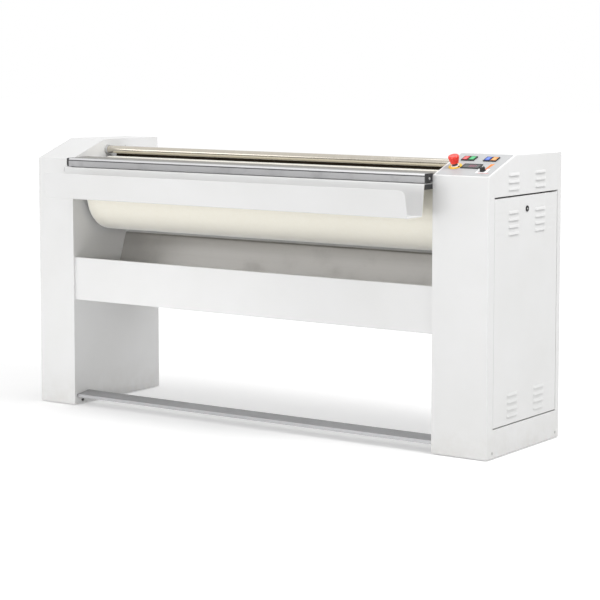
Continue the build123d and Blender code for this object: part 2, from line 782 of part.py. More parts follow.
def tray_and_slide():
    y0 = front_y + tray_front
    y1 = front_y + slide_foot
    line = [(y1, tray_bottom), (y0, tray_bottom), (y0, tray_top), (y0 + tray_hem, tray_top),
            (y0 + tray_hem, tray_top - tray_hem_drop)]
    keep("collecting_tray", prism_x(bent_sheet(line, sheet), left_wall, right_wall))
    lean = (slide_bend_height - tray_bottom) / (slide_bend_back - slide_foot)
    foot = tray_bottom + sheet
    y_foot = y1 + (foot - tray_bottom) / lean
    bend = (front_y + slide_bend_back, slide_bend_height)
    tip = (bend[0] + slide_lip, bend[1] + slide_lip)
    line = [(y_foot - slide_flange, foot), (y_foot, foot), bend, tip]
    keep("discharge_slide", prism_x(bent_sheet(line[::-1], sheet), left_wall, right_wall))


# ------------------------------------------------------------------ roller
def roller():
    x0, x1 = roller_x0, roller_x1
    y, z = roller_y, roller_height
    r_pad = roller_radius - cloth_thickness
    r_drum = r_pad - padding_thickness
    keep("roller_cover", tube_x(y, z, roller_radius, r_pad, x0, x1))
    keep("roller_padding", tube_x(y, z, r_pad, r_drum, x0, x1))
    keep("roller_drum", tube_x(y, z, r_drum, r_drum - drum_wall, x0, x1))
    journals = []
    hub = wall_plate + housing_flange + housing_boss
    for near, end, side in ((x0, left_wall - hub - journal_end, 1),
                            (x1, right_wall + hub + journal_end + pulley_gap + pulley_width, -1)):
        disc = rod_x(y, z, r_drum - drum_wall, *sorted((near, near + side * journal_disc)))
        shaft = rod_x(y, z, journal_radius, *sorted((near, end)))
        journals.append(disc + shaft)
    keep("roller_journals", *journals)


def bearings():
    housings, bolts = [], []
    for x_wall, side in ((left_wall, -1), (right_wall, 1)):
        x0 = x_wall + side * wall_plate
        x1 = x0 + side * housing_flange
        x2 = x1 + side * housing_boss
        a, b = sorted((x0, x1))
        half = housing_width / 2
        body = block(a, b, roller_y - half, roller_y + half, roller_height - half, roller_height + half)
        body = chamfer(body.edges().filter_by(Axis.X), housing_chamfer)
        body += rod_x(roller_y, roller_height, housing_boss_radius, *sorted((x1, x2)), round_sides)
        body -= rod_x(roller_y, roller_height, journal_radius + fit, *sorted((x0 - side, x2 + side)))
        housings.append(body)
        for dy in (-1, 1):
            for dz in (-1, 1):
                y = roller_y + dy * bolt_spread / 2
                z = roller_height + dz * bolt_spread / 2
                head = Plane.YZ.offset(x1) * Pos(y, z) * RegularPolygon(bolt_head_radius, 6)
                bolts.append(extrude(head, amount=side * bolt_head))
    keep("bearing_housings", *housings)
    keep("bearing_bolts", *bolts)


# ------------------------------------------------------------------ heated chest on its pivot tube
def opened(shape):
    """Turn a chest piece, drawn closed round the roller, to where it hangs at rest."""
    return shape.rotate(Axis((0, tube_y, tube_z), (1, 0, 0)), chest_open)


def chest():
    """Pivot tube with its bushes, and the heated chest with its layers, hangers and lever."""
    hanger_x = [left_wall + hanger_gap, right_wall - hanger_gap]
    x0 = hanger_x[0] + hanger_thickness
    x1 = hanger_x[1] - hanger_thickness
    lever_side = wall_plate + arm_side_gap
    ends = (left_wall - lever_side - arm_thickness - tube_end, right_wall + wall_plate + tube_end)
    keep("pivot_tube", tube_x(tube_y, tube_z, tube_radius, tube_radius - tube_wall, *ends))
    bushes = []
    for x_wall, side in ((left_wall, -1), (right_wall, 1)):
        ends = sorted((x_wall - side * bush_flange, x_wall + side * (wall_plate + bush_lap)))
        bush = rod_x(tube_y, tube_z, bush_radius, *ends, round_sides)
        flange = sorted((x_wall, x_wall - side * bush_flange))
        bush += rod_x(tube_y, tube_z, bush_flange_radius, *flange, 2 * round_sides)
        bushes.append(bush - rod_x(tube_y, tube_z, tube_radius + fit, ends[0] - over, ends[1] + over))
    keep("tube_bushes", *bushes)

    r0 = chest_radius
    r1 = r0 + chest_thickness
    plate = prism_x(sector(r0, r1, chest_low_angle, chest_top_angle), x0, x1)
    a = radians(chest_top_angle)
    tip = (roller_y + r0 * cos(a), roller_height + r0 * sin(a))
    root = (roller_y + r1 * cos(a), roller_height + r1 * sin(a))
    y_lip, z_lip = tip[0] + chest_lip_lean, tip[1] + chest_lip
    lip = poly([tip, (y_lip, z_lip), (y_lip + chest_lip_tip, z_lip), root])
    keep("chest_plate", opened(plate + prism_x(lip, x0, x1)))

    def on_chest(radius, angle):
        return roller_y + radius * cos(radians(angle)), roller_height + radius * sin(radians(angle))

    low, high = insulation_low_angle, insulation_top_angle
    step = (high - low) / heater_count
    heater_angles = [low + (i + 0.5) * step for i in range(heater_count)]
    rods = [rod_x(*on_chest(r1 + heater_radius, a), heater_radius, x0 + heater_end, x1 - heater_end, small_sides)
            for a in heater_angles]
    keep("heating_elements", *[opened(rod) for rod in rods])

    r3 = r1 + 2 * heater_radius + clamp_thickness
    foot_low, foot_high = low + clamp_tab, high - clamp_tab
    bends = [foot_low, *heater_angles, foot_high]
    line = [on_chest(r1, foot_low), *[on_chest(r3, a) for a in bends], on_chest(r1, foot_high)]
    strap = bent_sheet(line[::-1], clamp_thickness * cos(radians(step / 2)))
    pitch = (x1 - x0) / clamp_count
    middles = [x0 + (i + 0.5) * pitch for i in range(clamp_count)]
    keep("heater_clamps", *[opened(prism_x(strap, x - clamp_width / 2, x + clamp_width / 2)) for x in middles])

    r4 = r3 + insulation_thickness
    r5 = r4 + sheet
    gap = insulation_end_gap
    keep("chest_insulation", opened(prism_x(sector(r3, r4, low, high), x0 + gap, x1 - gap)))
    jacket = prism_x(sector(r4, r5, low - jacket_rim, high + jacket_rim), x0, x1)
    for a in (low - jacket_rim, high):
        jacket += prism_x(sector(r1, r5, a, a + jacket_rim), x0, x1)
    keep("chest_jacket", opened(jacket))

    arms = []
    for x, side in ((hanger_x[0], 1), (hanger_x[1], -1)):
        strap = link_face((tube_y, tube_z, hanger_boss_radius),
                          (*on_chest(r3, high), hanger_boss_radius / 2))
        ends = sorted((x, x + side * hanger_thickness))
        arm = opened(prism_x(sector(r0, r4, low, high), *ends) + prism_x(strap, *ends))
        arms.append(arm - rod_x(tube_y, tube_z, tube_radius, ends[0] - over, ends[1] + over))
    xa = left_wall - lever_side
    lever = link_face((tube_y, tube_z, lever_boss_radius), (lever_y, tube_z, lever_tip_radius))
    lever = prism_x(lever, xa - arm_thickness, xa)
    lever -= rod_x(tube_y, tube_z, tube_radius, xa - arm_thickness - over, xa + over)
    lever += rod_x(lever_y, tube_z, link_pin_radius, tie_x - rod_thickness / 2 - link_pin_end, xa - over)
    arms.append(lever)
    keep("chest_arms", *arms)


# ------------------------------------------------------------------ pedal and tie rod
def pedal():
    """Foot bar across the gap, on two levers that pivot inside the columns."""
    x0, x1 = left_wall + pedal_end_gap, right_wall - pedal_end_gap
    y0, z0 = front_y + pedal_front, pedal_front_height
    y1, z1 = y0 + pedal_depth, z0 + pedal_rise
    line = [(y0, z0 - pedal_lip), (y0, z0), (y1, z1), (y1, z1 - pedal_rear_lip)]
    bar = prism_x(bent_sheet(line, pedal_wall), x0, x1)
    bar = fillet(bar.edges().filter_by(Axis.X).sort_by(Axis.Y)[1], pedal_edge_radius)
    outer, inner = pedal_plug_radius + pedal_plug_edge, pedal_plug_radius - pedal_plug_wall
    plugs = []
    for y, z in ((y0 + outer, z0 - outer), (y1 - outer, z1 - pedal_rear_plug)):
        bar += rod_x(y, z, outer, x0, x1, small_sides)
        bar -= rod_x(y, z, inner, x0 - over, x1 + over, small_sides)
        for x, side in ((x0, 1), (x1, -1)):
            plug = rod_x(y, z, inner, *sorted((x, x + side * pedal_plug_reach)), small_sides)
            plug += rod_x(y, z, outer, *sorted((x - side * pedal_plug_head, x)), round_sides)
            plugs.append(plug)
    keep("pedal_bar", bar)
    keep("pedal_plugs", *plugs)

    arms = []
    tilt = pedal_rise / pedal_depth
    wall = pedal_wall * hypot(1, tilt)
    ya, yb = pedal_pin_y - arm_saddle / 2, pedal_pin_y + arm_saddle / 2
    under = [z0 + (y - y0) * tilt - wall for y in (ya, yb)]
    for x_wall, side, bar_end in ((left_wall, -1, x0), (right_wall, 1, x1)):
        xa = x_wall + side * (wall_plate + arm_side_gap)
        xb = xa + side * arm_thickness
        plate = link_face((pedal_pivot_y, pedal_pivot_height, arm_boss_radius),
                          (pedal_pin_y, pedal_pin_height, arm_tip_radius))
        arm = prism_x(plate, *sorted((xa, xb)))
        boss_x = x_wall + side * (wall_plate + seat_gap)
        arm += rod_x(pedal_pivot_y, pedal_pivot_height, arm_boss_radius, *sorted((boss_x, xb)), round_sides)
        arm -= rod_x(pedal_pivot_y, pedal_pivot_height, pivot_pin_radius + fit, *sorted((x_wall, xb + side)))
        bar_in = bar_end - side * arm_reach
        arm += rod_x(pedal_pin_y, pedal_pin_height, pedal_pin_radius, *sorted((xb, bar_in)), round_sides)
        saddle = poly([(ya, pedal_pin_height), (ya, under[0]), (yb, under[1]), (yb, pedal_pin_height)])
        arm += prism_x(saddle, *sorted((bar_end - side * arm_saddle_end, bar_in)))
        if side < 0:
            arm += rod_x(link_y, link_z, link_pin_radius, tie_x - rod_thickness / 2 - link_pin_end, xb)
        arms.append(arm)
    keep("pedal_arms", *arms)

    xr0, xr1 = tie_x - rod_thickness / 2, tie_x + rod_thickness / 2
    lean = degrees(atan2(lever_y - link_y, tube_z - link_z))
    length = hypot(lever_y - link_y, tube_z - link_z)
    rod = extrude(disc(rod_radius, small_sides), amount=length)
    rod = Pos(tie_x, link_y, link_z) * Rot(-lean, 0, 0) * rod
    for y, z in ((link_y, link_z), (lever_y, tube_z)):
        rod += rod_x(y, z, rod_eye_radius, xr0, xr1, round_sides)
    rod -= rod_x(link_y, link_z, link_pin_radius + fit, xr0 - over, xr1 + over)
    rod -= rod_x(lever_y, tube_z, link_pin_radius + rod_slack, xr0 - over, xr1 + over)
    keep("tie_rod", rod)


# ------------------------------------------------------------------ drive
def drive():
    """Belt drive, gearbox and motor on their bracket, and the control box."""
    hub_x = right_wall + wall_plate + housing_flange + housing_boss
    x0 = hub_x + pulley_gap
    x1 = x0 + pulley_width
    groove0, groove1 = x0 + pulley_flange, x1 - pulley_flange

    def pulley(y, z, radius, bore):
        body = rod_x(y, z, radius, groove0, groove1, 2 * round_sides)
        for a, b in ((x0, groove0), (groove1, x1)):
            body += rod_x(y, z, radius + pulley_flange_rise, a, b, 2 * round_sides)
        return body - rod_x(y, z, bore, x0 - over, x1 + over)

    big = pulley(roller_y, roller_height, roller_pulley_radius, journal_radius)
    for i in range(pulley_holes):
        a = radians(90 + 360 * i / pulley_holes)
        r = (journal_radius + roller_pulley_radius) / 2
        big -= rod_x(roller_y + r * cos(a), roller_height + r * sin(a), pulley_hole_radius,
                     x0 - over, x1 + over, small_sides)
    keep("roller_pulley", big)

    plate_x = x1 + bracket_gap_x
    box_x = plate_x + bracket_thickness
    shaft_end = box_x + output_depth
    small = pulley(motor_y, motor_height, motor_pulley_radius, output_radius - shaft_shrink)
    small += rod_x(motor_y, motor_height, output_radius, x0, shaft_end)
    keep("motor_pulley", small)

    def pulleys(grow):
        return ((roller_y, roller_height, roller_pulley_radius + grow),
                (motor_y, motor_height, motor_pulley_radius + grow))

    outside = link_face(*pulleys(belt_gap + belt_thickness), sides=2 * round_sides)
    belt = prism_x(outside, groove0 + belt_side_gap, groove1 - belt_side_gap)
    keep("drive_belt", belt - prism_x(hull_face(*pulleys(belt_gap)), groove0, groove1))

    y0, y1 = motor_y - gearbox_depth / 2, motor_y + gearbox_depth / 2
    z0, z1 = motor_height - gearbox_height / 2, motor_height + gearbox_height / 2
    far_x = box_x + gearbox_width
    box = block(box_x, far_x, y0, y1, z0, z1)
    box = chamfer(box.edges().filter_by(Axis.X), gearbox_chamfer)
    box += rod_x(motor_y, motor_height, gearbox_boss_radius, far_x, far_x + gearbox_boss, round_sides)
    box -= rod_x(motor_y, motor_height, output_radius + fit, box_x - over, shaft_end + over)
    keep("gearbox", box)

    shelf_z = motor_height - motor_pulley_radius - pulley_flange_rise - bracket_clear
    wall_x = right_wall + wall_plate
    foot_z = shelf_z - bracket_foot
    bracket = block(wall_x, box_x, y0, y1, shelf_z - bracket_thickness, shelf_z)
    bracket += block(plate_x, box_x, y0, y1, shelf_z - bracket_thickness, z1)
    bracket += block(wall_x, wall_x + bracket_thickness, y0, y1, foot_z, shelf_z)
    for y in (y0, y1 - bracket_thickness):
        web = poly([(wall_x, foot_z), (wall_x, shelf_z), (plate_x - bracket_web_gap, shelf_z)])
        bracket += extrude(Plane.XZ.offset(-y) * web, amount=-bracket_thickness)
    bracket -= rod_x(motor_y, motor_height, output_radius + bracket_hole,
                     plate_x - over, box_x + over, round_sides)
    keep("motor_bracket", bracket)

    xm = box_x + gearbox_width / 2 + motor_shift
    bottom = z0 - motor_length
    motor = rod_z(xm, motor_y, motor_radius - motor_rib, bottom, z0, 2 * motor_ribs)
    rib_length = motor_length - motor_fan - motor_collar
    for i in range(motor_ribs):
        rib = Box(motor_rib_width, 2 * motor_radius, rib_length)
        place = Pos(xm, motor_y, bottom + motor_fan + rib_length / 2) * Rot(0, 0, 180 * i / motor_ribs)
        motor += place * rib
    motor += rod_z(xm, motor_y, motor_radius, bottom, bottom + motor_fan, round_sides)
    dx, dy, dz = terminal_box
    box_y = motor_y + motor_radius - terminal_box_sink
    box_z = z0 - terminal_box_drop
    motor += block(xm - dx / 2, xm + dx / 2, box_y, box_y + dy, box_z - dz, box_z)
    keep("drive_motor", motor)

    xb = right_x - control_box_side - control_box_width
    yb = back_y - sheet
    box = block(xb, xb + control_box_width, yb - control_box_depth, yb, control_box_low, control_box_high)
    box = chamfer(box.edges().filter_by(Axis.Z).group_by(Axis.Y)[0], control_box_chamfer)
    w = control_box_wall
    box -= block(xb + w, xb + control_box_width - w, yb - control_box_depth + w, yb + over,
                 control_box_low + w, control_box_high - w)
    keep("control_box", box)


# ------------------------------------------------------------------ console
def console(across, run, lift=0.0):
    """Plane on the sloped facet: across from the inner face, run up the slope, lift off the surface."""
    a = radians(slope)
    normal = (0, -sin(a), cos(a))
    point = (right_wall + across, front_y + run * cos(a) + lift * normal[1],
             front_edge_height + run * sin(a) + lift * normal[2])
    return Plane(origin=point, x_dir=(1, 0, 0), z_dir=normal)


def stack(plane, section, low, high):
    """Extrude a section drawn on a console plane between two heights."""
    return extrude(plane.offset(low) * section, amount=high - low)


def console_cutters():
    """Holes that the controls need in the facet and in its overlay."""
    reach = (-cutter_reach, cutter_reach)
    holes = stack(console(estop_across, estop_run), disc(estop_hole_radius, round_sides), *reach)
    holes += stack(console(knob_across, knob_run), Circle(knob_shaft_radius + fit), *reach)
    inset = display_hole_inset
    window = Rectangle(display_width - inset, display_length - inset)
    holes += stack(console(display_across, display_run), window, *reach)
    inset = button_hole_inset
    window = Rectangle(button_width - inset, button_length - inset)
    for across in button_across.values():
        holes += stack(console(across, button_run), window, *reach)
    return holes


def controls():
    """Film, display, stop button, keys and knob on the facet of the right-hand column."""
    t = overlay_thickness
    width = right_column_width - 2 * overlay_margin
    length = facet_length - 2 * overlay_margin
    middle = console(right_column_width / 2, facet_length / 2)
    film = stack(middle, RectangleRounded(width, length, overlay_corner), 0, t)
    keep("control_overlay", film - console_cutters())

    plane = console(display_across, display_run)
    screen = stack(plane, Rectangle(display_width, display_length), t, t + display_rise)
    housing = Rectangle(display_width - display_inset, display_length - display_inset)
    screen += stack(plane, housing, -display_depth, t)
    top = t + display_rise
    screen -= stack(plane, Rectangle(*display_window), top - display_recess, top + over)
    keep("display_module", screen)

    plane = console(estop_across, estop_run)
    base = stack(plane, disc(estop_base_radius, 2 * round_sides), t, t + estop_ring)
    base += stack(plane, disc(estop_collar_radius, 2 * round_sides), t, t + estop_base)
    base += stack(plane, disc(estop_stem_radius + estop_barrel_wall, round_sides), -estop_barrel, t)
    bore = stack(plane, Circle(estop_stem_radius + fit), -estop_barrel - over, t + estop_base + over)
    keep("estop_base", base - bore)
    stem = stack(plane, Circle(estop_stem_radius), -estop_stem_low, estop_head_low - seat_gap)
    stem += stack(plane, Circle(estop_neck_radius), estop_head_low - seat_gap, estop_head_high - estop_cap)
    keep("estop_stem", stem)
    head = extrude(disc(estop_head_radius, 2 * round_sides), amount=estop_head_high - estop_head_low)
    taper = estop_head_high - estop_head_low - 2 * estop_head_round
    low_edges = head.faces().sort_by(Axis.Z)[0].edges()
    head = chamfer(low_edges, length=taper, length2=estop_head_radius - estop_head_low_radius)
    head = chamfer(head.faces().sort_by(Axis.Z)[-1].edges(), estop_head_round)
    bore_top = estop_head_high - estop_cap + seat_gap
    head -= extrude(Circle(estop_neck_radius + fit), amount=bore_top - estop_head_low)
    keep("estop_head", plane * Pos(0, 0, estop_head_low) * head)

    bezels = []
    inner = (button_width - 2 * button_rim, button_length - 2 * button_rim)
    inset = button_body_inset
    floor = button_floor - button_depth
    for colour, across in button_across.items():
        plane = console(across, button_run)
        bezel = stack(plane, Rectangle(button_width - button_play, button_length), t, t + button_rise)
        bezel += stack(plane, Rectangle(button_width - inset, button_length - inset), -button_depth, t)
        bezel -= stack(plane, Rectangle(*inner), floor, t + button_rise + over)
        bezels.append(bezel)
        cap = Rectangle(inner[0] - 2 * button_play, inner[1] - 2 * button_play)
        cap = stack(plane, cap, floor + button_travel + seat_gap, t + button_rise + button_proud)
        face = cap.faces().sort_by(Axis(plane.origin, plane.z_dir))[-1]
        keep(colour + "_button", chamfer(face.edges(), button_edge))
    keep("button_bezels", *bezels)

    plane = console(knob_across, knob_run)
    low = t + seat_gap
    knob = stack(plane, disc(knob_radius, 2 * round_sides), low, low + knob_height)
    top = knob.faces().sort_by(Axis(plane.origin, plane.z_dir))[-1]
    knob = chamfer(top.edges(), knob_edge)
    knob += stack(plane, Circle(knob_shaft_radius), -knob_shaft, low + over)
    mark = Pos(0, knob_radius - knob_mark[1] / 2) * Rectangle(*knob_mark)
    knob -= stack(plane, mark, low + knob_height - knob_mark_depth, low + knob_height + over)
    keep("speed_knob", knob)


# ------------------------------------------------------------------ inlet and screws
def inlet_and_screws():
    """Supply inlet in the back of the control column, and the visible screws."""
    place = Pos(right_wall + gland_across, back_y, gland_height) * Rot(-90, 0, 0)
    neck = disc(gland_bore + gland_neck, round_sides)
    gland = extrude(RegularPolygon(gland_hex_radius, 6), amount=gland_hex)
    dome = extrude(disc(gland_dome_radius, round_sides), amount=gland_dome)
    dome = chamfer(dome.faces().sort_by(Axis.Z)[-1].edges(), gland_taper)
    gland += Pos(0, 0, gland_hex) * dome
    gland += Pos(0, 0, -sheet - gland_inside) * extrude(neck, amount=sheet + gland_inside)
    gland += Pos(0, 0, -sheet - gland_nut) * extrude(RegularPolygon(gland_hex_radius, 6), amount=gland_nut)
    keep("cable_gland", place * (gland - Cylinder(gland_bore, 4 * gland_length)))

    screws = []

    def screw(y, z, radius, x, side):
        screws.append(rod_x(y, z, radius, *sorted((x, x + side * screw_head)), small_sides))

    for x, side in ((left_x, -1), (right_x, 1)):
        for d in (screw_front, screw_back):
            screw(front_y + d, screw_height, screw_radius, x, side)
    inset = service_lap / 2
    for y in (front_y + service_front + inset, front_y + service_back - inset):
        for z in (service_bottom + inset, service_top - inset):
            screw(y, z, screw_radius, left_x - sheet, -1)
    for x, side in ((left_wall, 1), (right_wall, -1)):
        screw(front_y + wall_screw_back, wall_screw_height, wall_screw_radius, x, side)
    keep("panel_screws", *screws)


def build():
    columns()
    right_side()
    base_and_feet()
    cross_members()
    rear()
    feed_table()
    guard()
    trough()
    tray_and_slide()
    roller()
    bearings()
    chest()
    pedal()
    drive()
    controls()
    inlet_and_screws()
    os.makedirs("parts", exist_ok=True)
    for name, shape in parts.items():
        export_step(shape, os.path.join("parts", name + ".step"))


build()
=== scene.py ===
# %% [markdown]
# # Flatwork ironer
# The imported model of the machine is the fixed frame of this lesson. It is loaded first, and every piece
# that is made here is laid over it in the same metres and the same place, so nothing has to be fitted.

# %% Load the frame
from math import atan2, cos, hypot, pi, radians, sin

import bmesh
import bpy
from mathutils import Matrix, Vector
from mathutils.noise import noise as uneven


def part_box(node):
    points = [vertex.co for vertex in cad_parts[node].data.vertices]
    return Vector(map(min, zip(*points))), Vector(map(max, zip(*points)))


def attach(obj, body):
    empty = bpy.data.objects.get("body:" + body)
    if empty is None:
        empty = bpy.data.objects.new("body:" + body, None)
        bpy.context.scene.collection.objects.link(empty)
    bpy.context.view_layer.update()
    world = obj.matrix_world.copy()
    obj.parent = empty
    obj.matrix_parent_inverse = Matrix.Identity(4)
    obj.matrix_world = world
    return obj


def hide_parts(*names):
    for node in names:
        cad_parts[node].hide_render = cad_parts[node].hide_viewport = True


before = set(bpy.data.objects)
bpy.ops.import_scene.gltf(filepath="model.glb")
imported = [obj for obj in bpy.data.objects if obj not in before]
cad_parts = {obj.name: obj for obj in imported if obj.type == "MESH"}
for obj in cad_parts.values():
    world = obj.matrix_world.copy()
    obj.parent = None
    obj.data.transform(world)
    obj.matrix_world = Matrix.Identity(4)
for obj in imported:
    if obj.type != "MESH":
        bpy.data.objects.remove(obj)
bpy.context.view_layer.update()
mm = 0.001

# %% [markdown]
# ## Camera
# The photograph was taken from the right-hand front, from a little above the machine, with a long lens
# and upright edges that stay parallel. A lens that is slid down on its mount does that: the camera looks
# nearly level and the picture is shifted. Here a small shift does part of it and a small tilt the rest,
# so that views from other sides stay in the frame.

# %% Camera
camera_place = (4.4262, -6.1907, 1.4647)
camera_turn, camera_tilt = radians(34.86), radians(5.372)
camera_lens, camera_shift = 119.85, -0.12


def show(name, data):
    """New object in the scene."""
    thing = bpy.data.objects.new(name, data)
    bpy.context.scene.collection.objects.link(thing)
    return thing


lens = bpy.data.cameras.new("camera")
lens.lens, lens.sensor_width = camera_lens, 36.0
lens.shift_y, lens.clip_end = camera_shift, 100.0
camera = show("camera", lens)
camera.location = camera_place
camera.rotation_euler = (pi / 2 - camera_tilt, 0.0, camera_turn)
bpy.context.scene.camera = camera
bpy.context.scene.view_settings.view_transform = "Standard"
print("camera", camera_place, "lens", camera_lens)

# %% [markdown]
# ## Nodes in few words
# The studio and the finishes are built from shader nodes. One short function makes a node with its
# settings and its inputs at once, and the ones after it name the kinds that come back all the time.

# %% Node tools
def blank(data):
    """Emptied node tree of a new material or world."""
    data.use_nodes = True
    data.node_tree.nodes.clear()
    return data.node_tree


def node(tree, kind, inputs, **settings):
    """New shader node. An input is a number, a colour, or the output that feeds it."""
    made = tree.nodes.new("ShaderNode" + kind)
    for name, value in settings.items():
        setattr(made, name, value)
    for socket, value in inputs.items():
        if isinstance(value, bpy.types.NodeSocket):
            tree.links.new(value, made.inputs[socket])
        else:
            made.inputs[socket].default_value = value
    return made


def combine(tree, operation, first, second):
    """Two values joined by a sum, a product or the like."""
    return node(tree, "Math", {0: first, 1: second}, operation=operation).outputs[0]


def spread(tree, value, low, high, to_low=0.0, to_high=1.0, curve="LINEAR"):
    """Stretch a value from one range to another, held at the ends."""
    ends = {"Value": value, "From Min": low, "From Max": high, "To Min": to_low, "To Max": to_high}
    return node(tree, "MapRange", ends, interpolation_type=curve).outputs["Result"]


def noise(tree, vector, scale, detail, roughness=0.5):
    inputs = {"Vector": vector, "Scale": scale, "Detail": detail, "Roughness": roughness}
    return node(tree, "TexNoise", inputs).outputs["Fac"]


def seen_rays(tree):
    """One where the camera, a mirror or glass looks, nought for every other ray."""
    path = node(tree, "LightPath", {}).outputs
    direct = combine(tree, "MAXIMUM", path["Is Camera Ray"], path["Is Glossy Ray"])
    return combine(tree, "MAXIMUM", direct, path["Is Transmission Ray"])


print("node tools ready")

# %% [markdown]
# ## Floor and light
# A studio sweep is a plain white floor. Under a white object it has to stay whiter than the object and
# still take its shadow. The floor is a matt surface with a faint glow of its own that only the camera,
# mirrors and glass see, so it lights nothing and leaves the object's whites alone. The glow is weakest
# in the middle, where the lamps light the floor anyway, so that the shadow under the machine shows.

# %% Floor
floor_half = 30.0
floor_glow = (0.32, 0.54)
glow_reach = (1.4, 4.5)
floor_grey, white = (0.80, 0.80, 0.80, 1), (1, 1, 1, 1)


def mesh_of(bm, name):
    """Turn a worked mesh into one that an object can hold."""
    mesh = bpy.data.meshes.new(name)
    bm.to_mesh(mesh)
    bm.free()
    return mesh


bm = bmesh.new()
bmesh.ops.create_grid(bm, x_segments=1, y_segments=1, size=floor_half)
floor = show("floor", mesh_of(bm, "floor"))

sweep = bpy.data.materials.new("studio_sweep")
tree = blank(sweep)
away = node(tree, "VectorMath", {0: node(tree, "TexCoord", {}).outputs["Object"]}, operation="LENGTH")
growth = spread(tree, away.outputs["Value"], *glow_reach, *floor_glow, "SMOOTHSTEP")
strength = combine(tree, "MULTIPLY", seen_rays(tree), growth)
glow = node(tree, "Emission", {"Color": white, "Strength": strength})
matt = node(tree, "BsdfDiffuse", {"Color": floor_grey})
both = node(tree, "AddShader", {0: matt.outputs[0], 1: glow.outputs[0]})
node(tree, "OutputMaterial", {"Surface": both.outputs[0]})
floor.data.materials.append(sweep)
print("floor", 2 * floor_half, "m wide")

# %% [markdown]
# ### Lamps
# The room is evenly white, and weaker for the light it casts than for the eye. Large round lamps stand
# above, in front, at both sides and behind. A snooted one reaches under the tray and lights the inner
# wall of the left-hand column, which the large ones miss.

# %% Room light and lamps
room_level = 0.64
lamp_aim = (0, 0, 0.6)
lamps = {
    "top": ((0.0, -0.4, 4.6), 3.2, 30.0),
    "low": ((-0.4, -5.2, 0.6), 2.4, 72.0),
    "right": ((3.3, -0.5, 4.1), 1.4, 90.0),
    "left": ((-3.6, -3.6, 1.2), 2.4, 20.0),
    "back": ((0.6, 3.6, 3.2), 2.4, 22.0),
}
snoot_place, snoot_aim, snoot_power = (3.4, -4.4, 0.8), (-0.78, 0.15, 0.22), 520.0
snoot_angle, snoot_size = radians(10.5), 0.5

world = bpy.data.worlds.new("room")
bpy.context.scene.world = world
tree = blank(world)
level = spread(tree, seen_rays(tree), 0.0, 1.0, room_level, 1.0)
room = node(tree, "Background", {"Color": white, "Strength": level})
node(tree, "OutputWorld", {"Surface": room.outputs[0]})


def hang_lamp(data, place, aim, power):
    data.energy = power
    lamp = show(data.name, data)
    lamp.location = place
    lamp.rotation_euler = (Vector(aim) - Vector(place)).to_track_quat("-Z", "Y").to_euler()


for name, (place, size, power) in lamps.items():
    disk = bpy.data.lights.new(name, "AREA")
    disk.shape, disk.size = "DISK", size
    hang_lamp(disk, place, lamp_aim, power)
snoot = bpy.data.lights.new("snoot", "SPOT")
snoot.spot_size, snoot.spot_blend, snoot.shadow_soft_size = snoot_angle, 1.0, snoot_size
hang_lamp(snoot, snoot_place, snoot_aim, snoot_power)
print("lamps", [*lamps, "snoot"])

# %% [markdown]
# ## Measures from the frame
# The sheet-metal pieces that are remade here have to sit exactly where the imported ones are. Their corners
# are read from the frame's boxes, and only what a box can't tell, such as the height at which the front
# face ends and the slope begins, is a value of its own.

# %% Measures
sheet = 1.5 * mm
edge_lap = 6.0 * mm
front_edge, facet_depth, back_edge = 994.0 * mm, 195.0 * mm, 1060.0 * mm

left_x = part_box("left_side_panel")[0].x
left_low, left_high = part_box("left_cover")
right_low, right_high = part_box("right_cover")
left_seam, left_wall = left_low.x, left_high.x
right_wall, right_seam = right_low.x, right_high.x
right_x = right_seam + edge_lap
front_y, back_y = left_low.y, left_high.y
floor_gap, knee = left_low.z, left_high.z
column_line = [(front_y, floor_gap), (front_y, front_edge), (front_y + facet_depth, knee),
               (back_y, back_edge), (back_y, floor_gap)]
roller_low, roller_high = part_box("roller_cover")
roller_y, roller_z = (roller_low.y + roller_high.y) / 2, (roller_low.z + roller_high.z) / 2
roller_radius = (roller_high.z - roller_low.z) / 2
tube_low, tube_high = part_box("pivot_tube")
tube_y, tube_z = (tube_low.y + tube_high.y) / 2, (tube_low.z + tube_high.z) / 2
tube_radius = (tube_high.z - tube_low.z) / 2
print("columns", round(left_x, 4), round(left_wall, 4), round(right_wall, 4), round(right_x, 4))

# %% [markdown]
# ## Shared finish effects
# Real finishes are never even. Powder coat has a fine orange peel, drawn metal has lines along its
# length, cloth has threads, and everything gathers a little dust low down. Each of these is made once as
# a node group that gives out a height, a shade or a mask, and every material then uses it at its own size.

# %% Groups for surface effects
def effect(name, work, **values):
    """Node group round a function that turns coordinates and values into named outputs."""
    group = bpy.data.node_groups.new(name, "ShaderNodeTree")
    add = group.interface.new_socket
    add("Vector", in_out="INPUT", socket_type="NodeSocketVector")
    for label, value in values.items():
        add(label, in_out="INPUT", socket_type="NodeSocketFloat").default_value = value
    made = work(group, group.nodes.new("NodeGroupInput").outputs)
    for label in made:
        add(label, in_out="OUTPUT", socket_type="NodeSocketFloat")
    end = group.nodes.new("NodeGroupOutput")
    for label, value in made.items():
        group.links.new(value, end.inputs[label])
    return group


def pebbled(tree, given):
    return {"Height": noise(tree, given["Vector"], given["Peel"], 2.0),
            "Tone": noise(tree, given["Vector"], 3.1, 3.0, 0.6)}


def lined(tree, given):
    fine = noise(tree, given["Vector"], given["Fineness"], 4.0, 0.7)
    both = combine(tree, "ADD", fine, noise(tree, given["Vector"], 45.0, 2.0))
    return {"Height": fine, "Shade": combine(tree, "MULTIPLY", both, 0.5)}


def touched(tree, given):
    return {"Mask": spread(tree, noise(tree, given["Vector"], given["Size"], 5.0, 0.65), 0.5, 0.72)}


